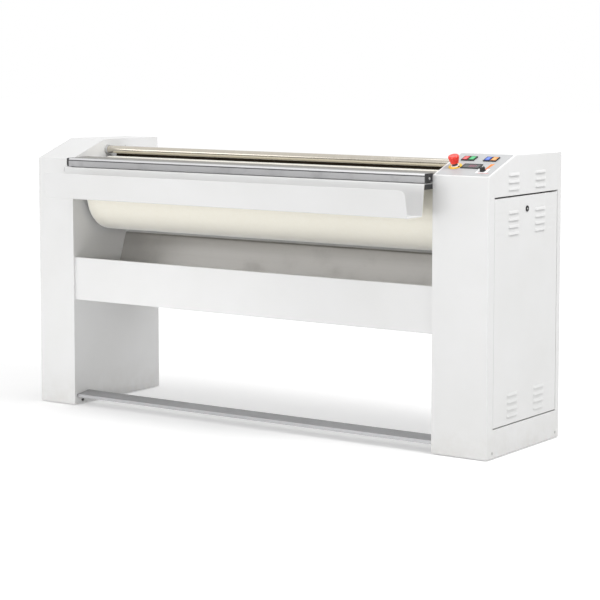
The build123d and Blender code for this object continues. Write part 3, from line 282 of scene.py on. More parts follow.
def dusty(tree, given):
    height = node(tree, "SeparateXYZ", {0: given["Vector"]}).outputs["Z"]
    reached = spread(tree, combine(tree, "DIVIDE", height, given["Reach"]), 0.0, 1.0)
    patches = spread(tree, noise(tree, given["Vector"], 24.0, 4.0, 0.6), 0.3, 0.75)
    return {"Mask": combine(tree, "MULTIPLY", combine(tree, "SUBTRACT", 1.0, reached), patches)}


def woven(tree, given):
    threads = {"Vector": given["Vector"], "Scale": given["Threads"], "Distortion": 0.6, "Detail": 1.0}
    cross = combine(tree, "MAXIMUM", *[node(tree, "TexWave", threads, bands_direction=way).outputs["Fac"]
                                       for way in ("X", "Y")])
    slubs = combine(tree, "ADD", cross, noise(tree, given["Vector"], 60.0, 4.0, 0.7))
    return {"Height": cross, "Shade": combine(tree, "MULTIPLY", slubs, 0.5)}


orange_peel = effect("orange_peel", pebbled, Peel=700.0)
drawn_lines = effect("drawn_lines", lined, Fineness=900.0)
handling = effect("handling", touched, Size=7.0)
low_dust = effect("low_dust", dusty, Reach=0.16)
weave = effect("weave", woven, Threads=420.0)
print("effects", [g.name for g in bpy.data.node_groups])

# %% [markdown]
# ## Finishes
# A finish is one surface shader with a colour that drifts a little between two tones, a roughness that
# handling has changed here and there, and a relief from one of the effects. The functions below set up
# what all of them share: the coordinates, the two tones, the roughness range and the bump.

# %% What every finish shares
def finish(work):
    """Let a function that fills a node tree make a named material."""
    def made(name, *values, **options):
        material = bpy.data.materials.new(name)
        work(blank(material), *values, **options)
        return material
    return made


def tone(r, g, b):
    """Linear colour of a screen colour given from 0 to 255."""
    linear = [((c / 255 + 0.055) / 1.055) ** 2.4 if c > 10 else c / 255 / 12.92 for c in (r, g, b)]
    return (*linear, 1.0)


def place_of(tree, stretch=(1, 1, 1), source="Object"):
    """Coordinates that stay with the piece, stretched by a Mapping node."""
    where = node(tree, "TexCoord", {}).outputs[source]
    return node(tree, "Mapping", {"Vector": where, "Scale": stretch}).outputs["Vector"]


def use(tree, group, vector, **values):
    """Place a shared effect in a material with its own values."""
    return node(tree, "Group", {"Vector": vector, **values}, node_tree=group).outputs


def two_tones(tree, mask, first, second):
    """Colour between two, led by a mask. Each is a screen colour or the output of another node."""
    first, second = (tone(*c) if isinstance(c, tuple) else c for c in (first, second))
    return node(tree, "Mix", {"Factor": mask, 6: first, 7: second}, data_type="RGBA").outputs[2]


def drift(tree, value, first, second):
    """Two tones led by a noise. It keeps near its middle, so only that part is used."""
    return two_tones(tree, spread(tree, value, 0.3, 0.7), first, second)


def surface(tree, colour, gloss, height, depth, strength, **sockets):
    """Principled shader with this colour and roughness, and a bump of a real depth in millimetres."""
    bump = node(tree, "Bump", {"Strength": strength, "Distance": depth * mm, "Height": height})
    named = {label.replace("_", " "): value for label, value in sockets.items()}
    shader = node(tree, "BsdfPrincipled", {"Base Color": colour, "Roughness": gloss,
                                           "Normal": bump.outputs[0], **named})
    node(tree, "OutputMaterial", {"Surface": shader.outputs[0]})


print("finish tools ready")

# %% [markdown]
# ### Powder coat
# The covers are steel sheet with a white powder coat. Its skin is smooth and satin, with an orange peel
# about a millimetre across that only shows where a lamp is mirrored. Hands leave duller patches, and the
# lowest part has a trace of dust from the floor.

# %% Powder coat
@finish
def powder_coat(tree, clean, worn, rough=0.34):
    where = place_of(tree)
    skin = use(tree, orange_peel, where, Peel=650.0)
    hands = use(tree, handling, where, Size=5.0)["Mask"]
    dust = use(tree, low_dust, where, Reach=0.14)["Mask"]
    paint = drift(tree, skin["Tone"], clean, worn)
    colour = two_tones(tree, combine(tree, "MULTIPLY", dust, 0.35), paint, (196, 192, 184))
    gloss = spread(tree, combine(tree, "ADD", hands, dust), 0.0, 1.5, rough, rough + 0.24)
    surface(tree, colour, gloss, skin["Height"], 0.02, 0.35, Coat_Weight=0.12, Coat_Roughness=0.22)


enamel = powder_coat("white_powder_coat", (228, 228, 228), (224, 224, 223))
box_paint = powder_coat("grey_box_paint", (201, 202, 203), (194, 195, 197), 0.42)
print("powder coats", enamel.name, box_paint.name)

# %% [markdown]
# ### Metals
# The feed table and the discharge slide are brushed sheet with lines along the roller. The guard and the
# foot bar are drawn aluminium, the tube is ground and polished, and the small hardware is zinc plated
# with its faint cloudy crystals. The chest is brownish steel, darkened towards its top with painted shade
# that is nearly black where the gap under the tube lies. Lines come from noise that is squeezed in one
# direction, so they are long along the roller and fine across it.

# %% Brushed and drawn metals
along_x = (0.02, 1.0, 1.0)
round_way = (1.0, 0.05, 0.05)


@finish
def brushed_metal(tree, light, dark, rough, fineness=1400.0, depth=0.002, stretch=along_x):
    lines = use(tree, drawn_lines, place_of(tree, stretch), Fineness=fineness)
    hands = use(tree, handling, place_of(tree), Size=11.0)
    blur = combine(tree, "ADD", lines["Shade"], hands["Mask"])
    gloss = spread(tree, blur, 0.3, 1.6, rough - 0.06, rough + 0.16)
    surface(tree, drift(tree, lines["Shade"], dark, light), gloss, lines["Height"], depth, 0.5, Metallic=1.0)


@finish
def shade_darkened_steel(tree, light, dark, painted_shade, first, last):
    """Brushed steel darkened by painted shade, from slight at one height to nearly black at another."""
    lines = use(tree, drawn_lines, place_of(tree, along_x), Fineness=1400.0)
    height = node(tree, "SeparateXYZ", {0: place_of(tree)}).outputs["Z"]
    # Painted shade: the steel darkens with height towards a nearly black tone.
    scale = spread(tree, height, first, last, 0.0, 0.9)
    colour = two_tones(tree, scale, drift(tree, lines["Shade"], dark, light), painted_shade)
    gloss = spread(tree, scale, 0.0, 0.9, 0.34, 0.6)
    surface(tree, colour, gloss, lines["Height"], 0.003, 0.5, Metallic=1.0)


@finish
def zinc_plate(tree, light, dark, rough=0.38):
    where = place_of(tree)
    cells = node(tree, "TexVoronoi", {"Scale": 160.0, "Vector": where}).outputs["Distance"]
    cloud = combine(tree, "ADD", cells, use(tree, handling, where, Size=16.0)["Mask"])
    colour = two_tones(tree, spread(tree, cloud, 0.1, 1.1), light, dark)
    gloss = spread(tree, cloud, 0.0, 1.2, rough - 0.08, rough + 0.18)
    surface(tree, colour, gloss, cells, 0.03, 0.3, Metallic=1.0)


feed_steel = brushed_metal("brushed_feed_plate", (138, 135, 130), (130, 127, 122), 0.42)
slide_steel = brushed_metal("brushed_slide", (198, 196, 193), (186, 184, 181), 0.50, depth=0.004)
guard_metal = brushed_metal("drawn_guard", (160, 160, 161), (152, 152, 153), 0.52)
# Painted highlight and painted shade: a lighter metal for the guard's bevel and a dark one for its groove.
guard_edge_highlight = brushed_metal("guard_bevel_painted_highlight", (226, 226, 226), (216, 216, 217), 0.4)
guard_groove_painted_shade = brushed_metal("guard_groove_painted_shade", (88, 88, 90), (76, 76, 78), 0.6)
pedal_metal = brushed_metal("drawn_foot_bar", (182, 182, 183), (166, 166, 168), 0.46, 1200.0, 0.004)
# Polished steel; its warm cream tint is painted reflection of the cream roller cloth.
tube_steel = brushed_metal("polished_tube", (206, 200, 189), (197, 191, 179), 0.16, 2400.0, 0.001, round_way)
drum_steel = brushed_metal("rolled_drum", (186, 186, 184), (150, 150, 149), 0.42, 300.0, 0.012)
heater_metal = brushed_metal("heater_sheath", (150, 142, 134), (104, 98, 92), 0.5, 260.0, 0.012)
# The chest darkens towards its top with painted shade, nearly black at the gap under the tube.
chest_metal = shade_darkened_steel("chest_steel_painted_shade", (108, 99, 86), (88, 80, 69), (34, 28, 21), 0.88, 0.95)
zinc = zinc_plate("zinc_plate", (208, 208, 204), (170, 171, 172))
lock_steel = zinc_plate("black_lock_plate", (44, 44, 46), (28, 28, 30), 0.34)
print("finishes", len(bpy.data.materials))

# %% [markdown]
# ### Cast and painted iron
# The bearing housings, pulleys, gearbox and motor are castings under a thick paint. Cast skin is pebbly
# at about two millimetres, and the paint rubs thin on the high spots.

# %% Castings
@finish
def casting(tree, paint, rubbed, rough=0.55):
    where = place_of(tree)
    pebble = use(tree, orange_peel, where, Peel=420.0)
    rub = combine(tree, "MULTIPLY", use(tree, handling, where, Size=30.0)["Mask"], pebble["Height"])
    gloss = spread(tree, pebble["Tone"], 0.3, 0.7, rough - 0.1, rough + 0.12)
    surface(tree, two_tones(tree, rub, paint, rubbed), gloss, pebble["Height"], 0.25, 0.6)


iron = casting("painted_cast_iron", (72, 78, 84), (112, 114, 116))
gear_paint = casting("painted_gear_case", (138, 144, 150), (176, 178, 180), 0.48)
black_steel = casting("black_bracket_paint", (30, 30, 32), (66, 66, 68), 0.45)
lever_paint = casting("lever_paint", (196, 197, 199), (160, 161, 163), 0.44)
print("finishes", len(bpy.data.materials))

# %% [markdown]
# ### Plastics and rubber
# The caps, frames and the knob are black moulded plastic with a spark-eroded grain. The keys and the
# stop button are smooth and glossy, and the film of the panel is a matt print with a leather grain so
# fine that it only takes the shine away.

# %% Plastics
@finish
def moulded(tree, first, second, rough, grain=0.04, peel=1500.0, coat=0.0):
    where = place_of(tree)
    skin = use(tree, orange_peel, where, Peel=peel)
    hands = use(tree, handling, where, Size=38.0)["Mask"]
    colour = drift(tree, skin["Tone"], first, second)
    gloss = spread(tree, hands, 0.0, 1.0, rough, rough + 0.16)
    surface(tree, colour, gloss, skin["Height"], grain, 0.5, Coat_Weight=coat, Coat_Roughness=0.12)


black_plastic = moulded("black_moulding", (17, 17, 18), (25, 25, 26), 0.46)
film = moulded("panel_film", (190, 191, 192), (184, 185, 186), 0.42, 0.015)
pale_nylon = moulded("pale_nylon", (206, 206, 203), (194, 194, 191), 0.46)
white_print = moulded("white_print", (246, 246, 246), (240, 240, 241), 0.45, 0.01)
yellow_plastic = moulded("yellow_ring", (252, 206, 24), (246, 196, 16), 0.36, 0.02)
grey_plastic = moulded("grey_stem", (70, 70, 72), (58, 58, 60), 0.45)
red_head = moulded("red_stop_head", (250, 58, 38), (240, 48, 32), 0.26, 0.01, coat=0.35)
dark_glass = moulded("display_glass", (14, 13, 16), (20, 18, 22), 0.08, 0.002, coat=0.5)
belt_rubber = moulded("belt_rubber", (30, 30, 31), (44, 43, 42), 0.72, 0.12, 600.0)

key_tones = {
    "red": ((214, 54, 58), (196, 40, 46), (244, 96, 92), (232, 78, 76)),
    "green": ((16, 170, 92), (10, 148, 78), (40, 206, 124), (30, 190, 110)),
    "blue": ((44, 84, 196), (32, 66, 172), (92, 134, 232), (76, 116, 216)),
    "orange": ((238, 150, 66), (224, 132, 48), (255, 184, 104), (248, 170, 88)),
}
key_finishes = {}
for colour, tones in key_tones.items():
    key_finishes[colour] = (moulded(colour + "_key", *tones[:2], 0.24, 0.01, coat=0.4),
                            moulded(colour + "_key_lens", *tones[2:], 0.22, 0.01, coat=0.4))
print("finishes", len(bpy.data.materials))

# %% Digits and the wedge print
@finish
def glowing_digits(tree, lit, unlit, level):
    """Dim figures of a display, a little uneven like real segments."""
    colour = drift(tree, noise(tree, place_of(tree), 900.0, 2.0), unlit, lit)
    shader = node(tree, "BsdfPrincipled", {"Base Color": colour, "Emission Color": colour,
                                           "Emission Strength": level, "Roughness": 0.3})
    node(tree, "OutputMaterial", {"Surface": shader.outputs[0]})


@finish
def fading_print(tree, near, far, start, end, rough=0.42):
    """Print that fades from one colour to another as it goes back."""
    where = place_of(tree)
    back = node(tree, "SeparateXYZ", {0: where}).outputs["Y"]
    skin = use(tree, orange_peel, where, Peel=1500.0)
    dots = combine(tree, "MULTIPLY", skin["Height"], 0.12)
    fade = combine(tree, "ADD", spread(tree, back, start, end, 0.0, 0.9), dots)
    gloss = spread(tree, skin["Tone"], 0.3, 0.7, rough, rough + 0.1)
    surface(tree, two_tones(tree, fade, near, far), gloss, skin["Height"], 0.01, 0.4)


dim_digit = glowing_digits("dim_digits", (150, 40, 82), (118, 28, 64), 0.9)
fade_reach = (front_y + 30 * mm, front_y + 110 * mm)
wedge_print = fading_print("red_to_orange_print", (226, 44, 40), (247, 150, 38), *fade_reach)
print("finishes", len(bpy.data.materials))

# %% [markdown]
# ### Cloth and wool
# The roller wears a cream cotton cloth. Its weave runs along and round the roller, so it is read from
# the cloth's own map, which counts metres both ways. Ironing heat has browned it very slightly in bands.
# The mineral wool behind the heaters is only fibre: noise without threads.

# %% Cloth and wool
@finish
def woven_cloth(tree, light, warm, threads):
    where = place_of(tree, source="UV")
    yarn = use(tree, weave, where, Threads=threads)
    bands = noise(tree, place_of(tree, (2.2, 0.4, 1.0), "UV"), 4.0, 3.0, 0.55)
    hands = use(tree, handling, where, Size=9.0)["Mask"]
    cloth = two_tones(tree, spread(tree, yarn["Shade"], 0.25, 0.75), warm, light)
    colour = two_tones(tree, spread(tree, bands, 0.5, 0.85, 0.0, 0.5), cloth, warm)
    gloss = spread(tree, hands, 0.0, 1.0, 0.86, 0.72)
    surface(tree, colour, gloss, yarn["Height"], 0.12, 0.4, Sheen_Weight=0.8, Sheen_Roughness=0.5)


@finish
def fibre_mat(tree, light, dark, fibres):
    strands = noise(tree, place_of(tree, (1.0, 0.25, 0.4)), fibres, 6.0, 0.75)
    clumps = combine(tree, "ADD", strands, noise(tree, place_of(tree), 40.0, 3.0))
    colour = two_tones(tree, spread(tree, clumps, 0.7, 1.3), dark, light)
    gloss = spread(tree, strands, 0.3, 0.7, 0.85, 1.0)
    surface(tree, colour, gloss, strands, 0.8, 0.7, Sheen_Weight=0.2)


cream_cloth = woven_cloth("cream_ironing_cloth", (252, 249, 237), (247, 242, 226), 150.0)
hem_tape = woven_cloth("white_hem_tape", (254, 253, 250), (250, 249, 245), 260.0)
wool = fibre_mat("mineral_wool", (206, 192, 146), (164, 148, 104), 260.0)
print("finishes", len(bpy.data.materials))

# %% [markdown]
# ## Tools for the pieces
# Three kinds of work make almost everything here: a sheet folded along a line of corners, a profile
# turned on a lathe, and a section pulled out to a bar. Each is a short function around Blender's own mesh
# operators. A last one gives the finished mesh its finish, its sharp corners and its place in the frame.

# %% Turn a mesh into a piece
corner_angle = 32.0
tiny = 0.001 * mm


def round_off(bm, items, radius, steps, kind="EDGES", limit=False):
    """Round edges, or the corners of a flat sheet; the limit keeps neighbours from overlapping."""
    bmesh.ops.bevel(bm, geom=items, offset=radius, offset_type="OFFSET", segments=steps, profile=0.5,
                    affect=kind, material=-1, clamp_overlap=limit)


def soften(bm, width, angle=35.0):
    """Round every edge that is sharper than the angle."""
    sharp = [e for e in bm.edges if len(e.link_faces) == 2 and e.calc_face_angle() > radians(angle)]
    round_off(bm, sharp, width, 2, limit=True)


def face_outside(bm):
    bmesh.ops.recalc_face_normals(bm, faces=bm.faces[:])
    return bm


def keep_flats(piece):
    """Let the large faces set the shading, so that flats stay flat up to their rounded edges."""
    step = piece.modifiers.new("flats", "WEIGHTED_NORMAL")
    step.mode, step.weight, step.keep_sharp = "FACE_AREA", 100, True


def new_piece(name, bm, finishes, body, stands_for=(), corner=corner_angle, flats=True):
    """Give the mesh its finishes and sharp corners, name it and let it ride its body."""
    bmesh.ops.remove_doubles(bm, verts=bm.verts[:], dist=tiny)
    for face in face_outside(bm).faces:
        face.smooth = True
    for edge in bm.edges:
        edge.smooth = len(edge.link_faces) == 2 and edge.calc_face_angle() < radians(corner)
    mesh = mesh_of(bm, name)
    for material in finishes if isinstance(finishes, tuple) else (finishes,):
        mesh.materials.append(material)
    piece = show(name, mesh)
    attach(piece, body)
    if stands_for:
        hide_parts(*stands_for)
    if flats:
        keep_flats(piece)
    print(name, len(mesh.polygons), "faces")
    return piece


def cut_with(piece, cutter):
    """Take a cutter's shape out of a piece, and keep the result as the piece's own mesh."""
    tool = show("cutter", mesh_of(cutter, "cutter"))
    piece.modifiers.clear()
    step = piece.modifiers.new("cut", "BOOLEAN")
    step.object, step.operation, step.solver = tool, "DIFFERENCE", "EXACT"
    bpy.context.view_layer.update()
    whole = piece.evaluated_get(bpy.context.evaluated_depsgraph_get())
    cut = bpy.data.meshes.new_from_object(whole)
    piece.modifiers.clear()
    cut.set_sharp_from_angle(angle=radians(corner_angle))
    spent = (piece.data, tool.data)
    piece.data = cut
    cut.name = piece.name
    bpy.data.objects.remove(tool)
    for mesh in spent:
        bpy.data.meshes.remove(mesh)
    keep_flats(piece)


def put(bm, matrix):
    bmesh.ops.transform(bm, matrix=matrix, verts=bm.verts[:])
    return bm


def join(*meshes):
    """Several meshes as one."""
    whole = meshes[0]
    for extra in meshes[1:]:
        mesh = mesh_of(extra, "part")
        whole.from_mesh(mesh)
        bpy.data.meshes.remove(mesh)
    return whole


print("piece tools ready")

# %% Folded sheet
def new_corners(found, kind=bmesh.types.BMVert):
    return [item for item in found["geom"] if isinstance(item, kind)]


def face_out(bm, spot, outward):
    """Turn all faces so that the one nearest the spot looks outward."""
    near = min(bm.faces, key=lambda face: (face.calc_center_median() - Vector(spot)).length)
    if near.normal.dot(Vector(outward)) < 0:
        bmesh.ops.reverse_faces(bm, faces=bm.faces[:])


def fold(line, x0, x1, bend):
    """Sheet without thickness, folded along a line of (y, z) corners, from x0 to x1."""
    bm = bmesh.new()
    corners = [bm.verts.new((x0, y, z)) for y, z in line]
    for pair in zip(corners, corners[1:]):
        bm.edges.new(pair)
    round_off(bm, corners[1:-1], bend, 4, "VERTICES", True)
    run = bmesh.ops.extrude_edge_only(bm, edges=bm.edges[:])
    bmesh.ops.translate(bm, verts=new_corners(run), vec=(x1 - x0, 0, 0))
    return face_outside(bm)


def thicken(bm, spot, outward, thickness=sheet):
    """Give a sheet its thickness on the side away from where the face at the spot looks."""
    face_out(bm, spot, outward)
    bmesh.ops.solidify(bm, geom=bm.faces[:], thickness=thickness)
    return bm


print("sheet tools ready")

# %% Lathe and bar
def lathe(profile, steps=48):
    """Turn a line of (radius, height) corners about Z."""
    bm = bmesh.new()
    line = [bm.verts.new((r, 0, h)) for r, h in profile]
    for pair in zip(line, line[1:]):
        bm.edges.new(pair)
    bmesh.ops.spin(bm, geom=bm.verts[:] + bm.edges[:], axis=(0, 0, 1), cent=(0, 0, 0), angle=2 * pi,
                   steps=steps, use_merge=True)
    bmesh.ops.remove_doubles(bm, verts=bm.verts[:], dist=tiny)
    bmesh.ops.dissolve_degenerate(bm, edges=bm.edges[:], dist=tiny)
    return face_outside(bm)


def turned(profile, steps=48):
    """The same from millimetres."""
    return lathe([(r * mm, h * mm) for r, h in profile], steps)


def pipe(inner, outer, low, high, steps):
    """Pipe about Z, or a rod where the inner radius is nought."""
    line = [(inner, low), (outer, low), (outer, high), (inner, high)]
    return lathe(line + line[:1] if inner else line, steps)


def raise_faces(bm, faces, vec):
    """Extrude faces along a vector."""
    grown = bmesh.ops.extrude_face_region(bm, geom=faces)
    bmesh.ops.translate(bm, verts=new_corners(grown), vec=vec)
    return face_outside(bm)


def bar(outline, x0, x1):
    """Solid bar along X with an outline of (y, z) corners."""
    bm = bmesh.new()
    return raise_faces(bm, [bm.faces.new([bm.verts.new((x0, y, z)) for y, z in outline])], (x1 - x0, 0, 0))


def along_x_at(x, y, z, side=1):
    """Place for something turned about Z, laid along X; the side says which way its top looks."""
    flip = Matrix.Rotation(0 if side > 0 else pi, 4, "X")
    return Matrix.Translation((x, y, z)) @ Matrix.Rotation(pi / 2, 4, "Y") @ flip


print("lathe and bar ready")

# %% [markdown]
# ## Column covers
# Each column is wrapped by one sheet that runs up the front, back along the slope of the console, over
# the top and down the back. It could be cut from a box, but a folding press makes it from a flat blank,
# so it is made the same way here: a line of corners, small bend radii, and a sheet drawn out from it.

# %% Wrapped covers
cover_bend = 2.5 * mm
covers = {}
for name, x0, x1, wall in (("left_cover", left_seam, left_wall, left_wall),
                           ("right_cover", right_wall, right_seam, right_wall)):
    wrapped = thicken(fold(column_line, x0, x1, cover_bend), (wall, front_y, 0.5), (0, -1, 0))
    covers[name] = new_piece(name + "_sheet", wrapped, enamel, "frame", [name])

# %% [markdown]
# ## Side panels
# A side panel is a flat sheet with rounded rims that closes the column from outside. The right-hand one
# also has the door opening with its folded frame, and three rows of louvres. A louvre is lanced and
# pressed in one stroke: the sheet is slit along the lower edge and pushed out above the slit. Here the
# flat face gets a few cuts, the slit is split open, and the points above it are lifted on a soft curve.

# %% Panels and louvres
louvre_length, louvre_height, louvre_rise, louvre_pitch = 80.0 * mm, 12.0 * mm, 4.9 * mm, 25.0 * mm
louvre_ramps = (0.0, 3.0 * mm, 6.5 * mm, 10.0 * mm)
louvre_levels = (0.0, 0.28, 0.55, 0.8, 1.0)
louvre_places = (front_y + 178.0 * mm, front_y + 374.0 * mm)
X, Y, Z = range(3)


def lies_at(item, axis, place):
    """Whether all corners of a face or an edge have this coordinate."""
    return all(abs(v.co[axis] - place) < tiny for v in item.verts)


def inside(face, sides, heights):
    middle = face.calc_center_median()
    return sides[0] < middle.y < sides[1] and heights[0] < middle.z < heights[1]


def panel_skin(outline, x_face, side, depth, radius, open_low):
    """Shell of a panel: its face at x_face, a rounded rim, and walls that go back by depth."""
    bm = bmesh.new()
    back = bm.faces.new([bm.verts.new((x_face - side * depth, y, z)) for y, z in outline])
    raise_faces(bm, [back], (side * depth, 0, 0))
    low = min(z for y, z in outline)
    rim = [e for e in bm.edges if lies_at(e, X, x_face) and not (open_low and lies_at(e, Z, low))]
    round_off(bm, rim, radius, 5)
    away = [f for f in bm.faces if lies_at(f, X, x_face - side * depth)]
    away += [f for f in bm.faces if open_low and lies_at(f, Z, low)]
    bmesh.ops.delete(bm, geom=away, context="FACES")
    return face_outside(bm)


def cut_face(bm, x_face, axis, places):
    """Cut the flat face of a panel across at each place."""
    normal = Vector((0, 1, 0)) if axis == Y else Vector((0, 0, 1))
    for place in places:
        faces = [f for f in bm.faces if lies_at(f, X, x_face)]
        edges = {e for f in faces for e in f.edges}
        verts = {v for f in faces for v in f.verts}
        bmesh.ops.bisect_plane(bm, geom=[*verts, *edges, *faces], plane_co=normal * place,
                               plane_no=normal, dist=1e-7)


def cut_window(bm, x_face, sides, heights):
    """Take a rectangle out of the flat face of a panel."""
    cut_face(bm, x_face, Y, sides)
    cut_face(bm, x_face, Z, heights)
    out = [f for f in bm.faces if lies_at(f, X, x_face) and inside(f, sides, heights)]
    bmesh.ops.delete(bm, geom=out, context="FACES")


def press_louvres(bm, x_face, lows):
    """Lance and lift a louvre at each column and each row."""
    half = louvre_length / 2
    cut_face(bm, x_face, Z, [low + t * louvre_height for low in lows for t in louvre_levels])
    cut_face(bm, x_face, Y, [y + s * (half - ramp) for y in louvre_places for ramp in louvre_ramps
                             for s in (-1, 1)])
    faces = [f for f in bm.faces if lies_at(f, X, x_face)]
    for y in louvre_places:
        for low in lows:
            window = [f for f in faces if inside(f, (y - half, y + half), (low, low + louvre_height))]
            slit = {e for f in window for e in f.edges if lies_at(e, Z, low)}
            bmesh.ops.split_edges(bm, edges=list(slit))
            for v in {v for f in window for v in f.verts}:
                up = (v.co.z - low) / louvre_height
                end = min(1.0, max(0.0, (half - abs(v.co.y - y)) / louvre_ramps[-1]))
                v.co.x += louvre_rise * cos(up * pi / 2) * sin(end * pi / 2)
    face_outside(bm)


def inset(ends, by):
    """The same two ends, each moved inward."""
    return ends[0] + by, ends[1] - by


print("panel tools ready, louvres", [round(v / mm, 1) for v in (louvre_length, louvre_height, louvre_rise)])


# %% Left and right side panel
skin_radius = 5.0 * mm
service_sides, service_heights = (front_y + 60.0 * mm, front_y + 478.0 * mm), (120.0 * mm, 900.0 * mm)
service_lap = 15.0 * mm
door_sides, door_heights = (front_y + 42.8 * mm, front_y + 505.7 * mm), (109.0 * mm, 915.0 * mm)
door_gap, door_gap_low, door_gap_high = 2 * mm, 4 * mm, 6 * mm
jamb_depth = 17 * mm
top_louvre, top_rows = 941 * mm, 3

left_skin = panel_skin(column_line, left_x, -1, edge_lap, skin_radius, True)
cut_window(left_skin, left_x, inset(service_sides, service_lap), inset(service_heights, service_lap))
bmesh.ops.solidify(left_skin, geom=left_skin.faces[:], thickness=sheet)
new_piece("left_side_skin", left_skin, enamel, "frame", ["left_side_panel"])

right_skin = panel_skin(column_line, right_x, 1, edge_lap, skin_radius, True)
cut_window(right_skin, right_x, inset(door_sides, -door_gap),
           (door_heights[0] - door_gap_low, door_heights[1] + door_gap_high))
jamb = [e for e in right_skin.edges if e.is_boundary and lies_at(e, X, right_x)
        and all(v.co.z > floor_gap + 1 * mm for v in e.verts)]
run = bmesh.ops.extrude_edge_only(right_skin, edges=jamb)
bmesh.ops.translate(right_skin, verts=new_corners(run), vec=(-jamb_depth, 0, 0))
press_louvres(right_skin, right_x, [top_louvre + i * louvre_pitch for i in range(top_rows)])
thicken(right_skin, (right_x, front_y + 20 * mm, 0.5), (1, 0, 0))
new_piece("right_side_skin", right_skin, enamel, "frame", ["right_side_panel"])

# %% [markdown]
# ## Access door
# The door is a shallow tray of the same sheet, with its rim folded back all round. It carries two groups
# of louvres so that air rises past the motor, and a quarter-turn lock near its top. The service panel on
# the other side is a plain plate with round corners.

# %% Door and service panel
door_depth = 15.0 * mm
door_louvres, door_rows = (135 * mm, 783 * mm), 4
lock_y, lock_z, lock_hole = front_y + 276.0 * mm, 868.0 * mm, 9.1 * mm
hinge_in, hinge_up, hinge_radius = 8.5 * mm, 9 * mm, 3.2 * mm
panel_corner, panel_edge = 4 * mm, 0.4 * mm

door_line = [(door_sides[i], door_heights[k]) for i, k in ((0, 0), (0, 1), (1, 1), (1, 0))]
door = panel_skin(door_line, right_x, 1, door_depth, sheet, False)
press_louvres(door, right_x, [low + i * louvre_pitch for low in door_louvres for i in range(door_rows)])
thicken(door, (right_x, roller_y, 0.5), (1, 0, 0))
door_skin = new_piece("door_skin", door, enamel, "door", ["access_door"])
keyway = pipe(0, lock_hole, -0.02, 0.01, 32)
cut_with(door_skin, put(keyway, along_x_at(right_x, lock_y, lock_z)))
hinge_place = Matrix.Translation((right_x - hinge_in, sum(door_sides) / 2, door_heights[0] + hinge_up))
cut_with(door_skin, put(pipe(0, hinge_radius, -0.3, 0.3, 24), hinge_place @ Matrix.Rotation(pi / 2, 4, "X")))

panel_low, panel_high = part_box("left_service_panel")
middle = (panel_low + panel_high) / 2
service = bmesh.new()
bmesh.ops.create_grid(service, x_segments=1, y_segments=1, size=0.5)
panel_size = (panel_high.y - panel_low.y, panel_high.z - panel_low.z, 1)
bmesh.ops.scale(service, vec=panel_size, verts=service.verts[:])
round_off(service, service.verts[:], panel_corner, 4, "VERTICES")
raise_faces(service, service.faces[:], (0, 0, sheet))
soften(service, panel_edge)
to_the_left = Matrix(((0, 0, -1), (1, 0, 0), (0, 1, 0))).to_4x4()
put(service, Matrix.Translation((left_x, middle.y, middle.z)) @ to_the_left)
new_piece("service_panel_sheet", service, enamel, "frame", ["left_service_panel"])

# %% [markdown]
# ## Feed side
# The linen lies in a trough in front of the roller, is drawn over the feed table and goes under the tube.
# The trough's front lip has large rounded corners so that nobody catches a sleeve; they are rounded on
# the flat sheet before it gets its thickness.

# %% Trough and feed table
trough_low, trough_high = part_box("feed_trough")
trough_flange, trough_floor, trough_lip = 963.0 * mm, 851.0 * mm, 950.0 * mm
wall_top, wall_foot, lip_foot = front_y - 50.0 * mm, front_y - 65.0 * mm, front_y - 163.0 * mm
lip_round, trough_bend = 20 * mm, 3.0 * mm
trough_line = [(trough_high.y, trough_flange), (wall_top, trough_flange), (wall_foot, trough_floor),
               (lip_foot, trough_floor), (trough_low.y, trough_lip)]
trough = fold(trough_line, trough_low.x, trough_high.x, trough_bend)
lip_corners = [v for v in trough.verts if abs(v.co.z - trough_lip) < tiny and v.co.y < lip_foot]
round_off(trough, lip_corners, lip_round, 8, "VERTICES")
thicken(trough, (0, trough_low.y, 0.9), (0, -1, 0))
soften(trough, 0.3 * mm, 60)
new_piece("trough_sheet", trough, enamel, "frame", ["feed_trough"])

table_low, table_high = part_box("feed_plate")
table_top, table_sheet, table_bend = table_high.z, 2 * mm, 2.5 * mm
table_rim, table_crest, table_fall = 11 * mm, front_y + 97 * mm, 14 * mm
table_line = [(table_low.y, table_top - table_rim), (table_low.y, table_top),
              (table_crest, table_top), (table_high.y, table_top - table_fall)]
table = thicken(fold(table_line, left_wall, right_wall, table_bend),
                (0, front_y, table_top), (0, 0, 1), table_sheet)
new_piece("feed_table_sheet", table, feed_steel, "frame", ["feed_plate"])

# %% [markdown]
# ## Collecting side
# Ironed linen drops from the roller onto a brushed slide and into the tray. The tray has a hemmed front
# edge, folded back and down; the slide leans back and ends in a lip that is bent the other way. The lip is
# white enamel, a painted reflection of the bright roller cloth above it.

# %% Tray, slide and rear cover
tray_low, tray_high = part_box("collecting_tray")
hem_width, hem_drop = 14 * mm, 10 * mm
tray_bend, slide_bend, rear_bend = 2.5 * mm, 4.0 * mm, 3.0 * mm
tray_line = [(tray_high.y, tray_low.z), (tray_low.y, tray_low.z), (tray_low.y, tray_high.z),
             (tray_low.y + hem_width, tray_high.z), (tray_low.y + hem_width, tray_high.z - hem_drop)]
tray = thicken(fold(tray_line, left_wall, right_wall, tray_bend), (0, tray_low.y, 0.5), (0, -1, 0))
new_piece("tray_sheet", tray, enamel, "frame", ["collecting_tray"])

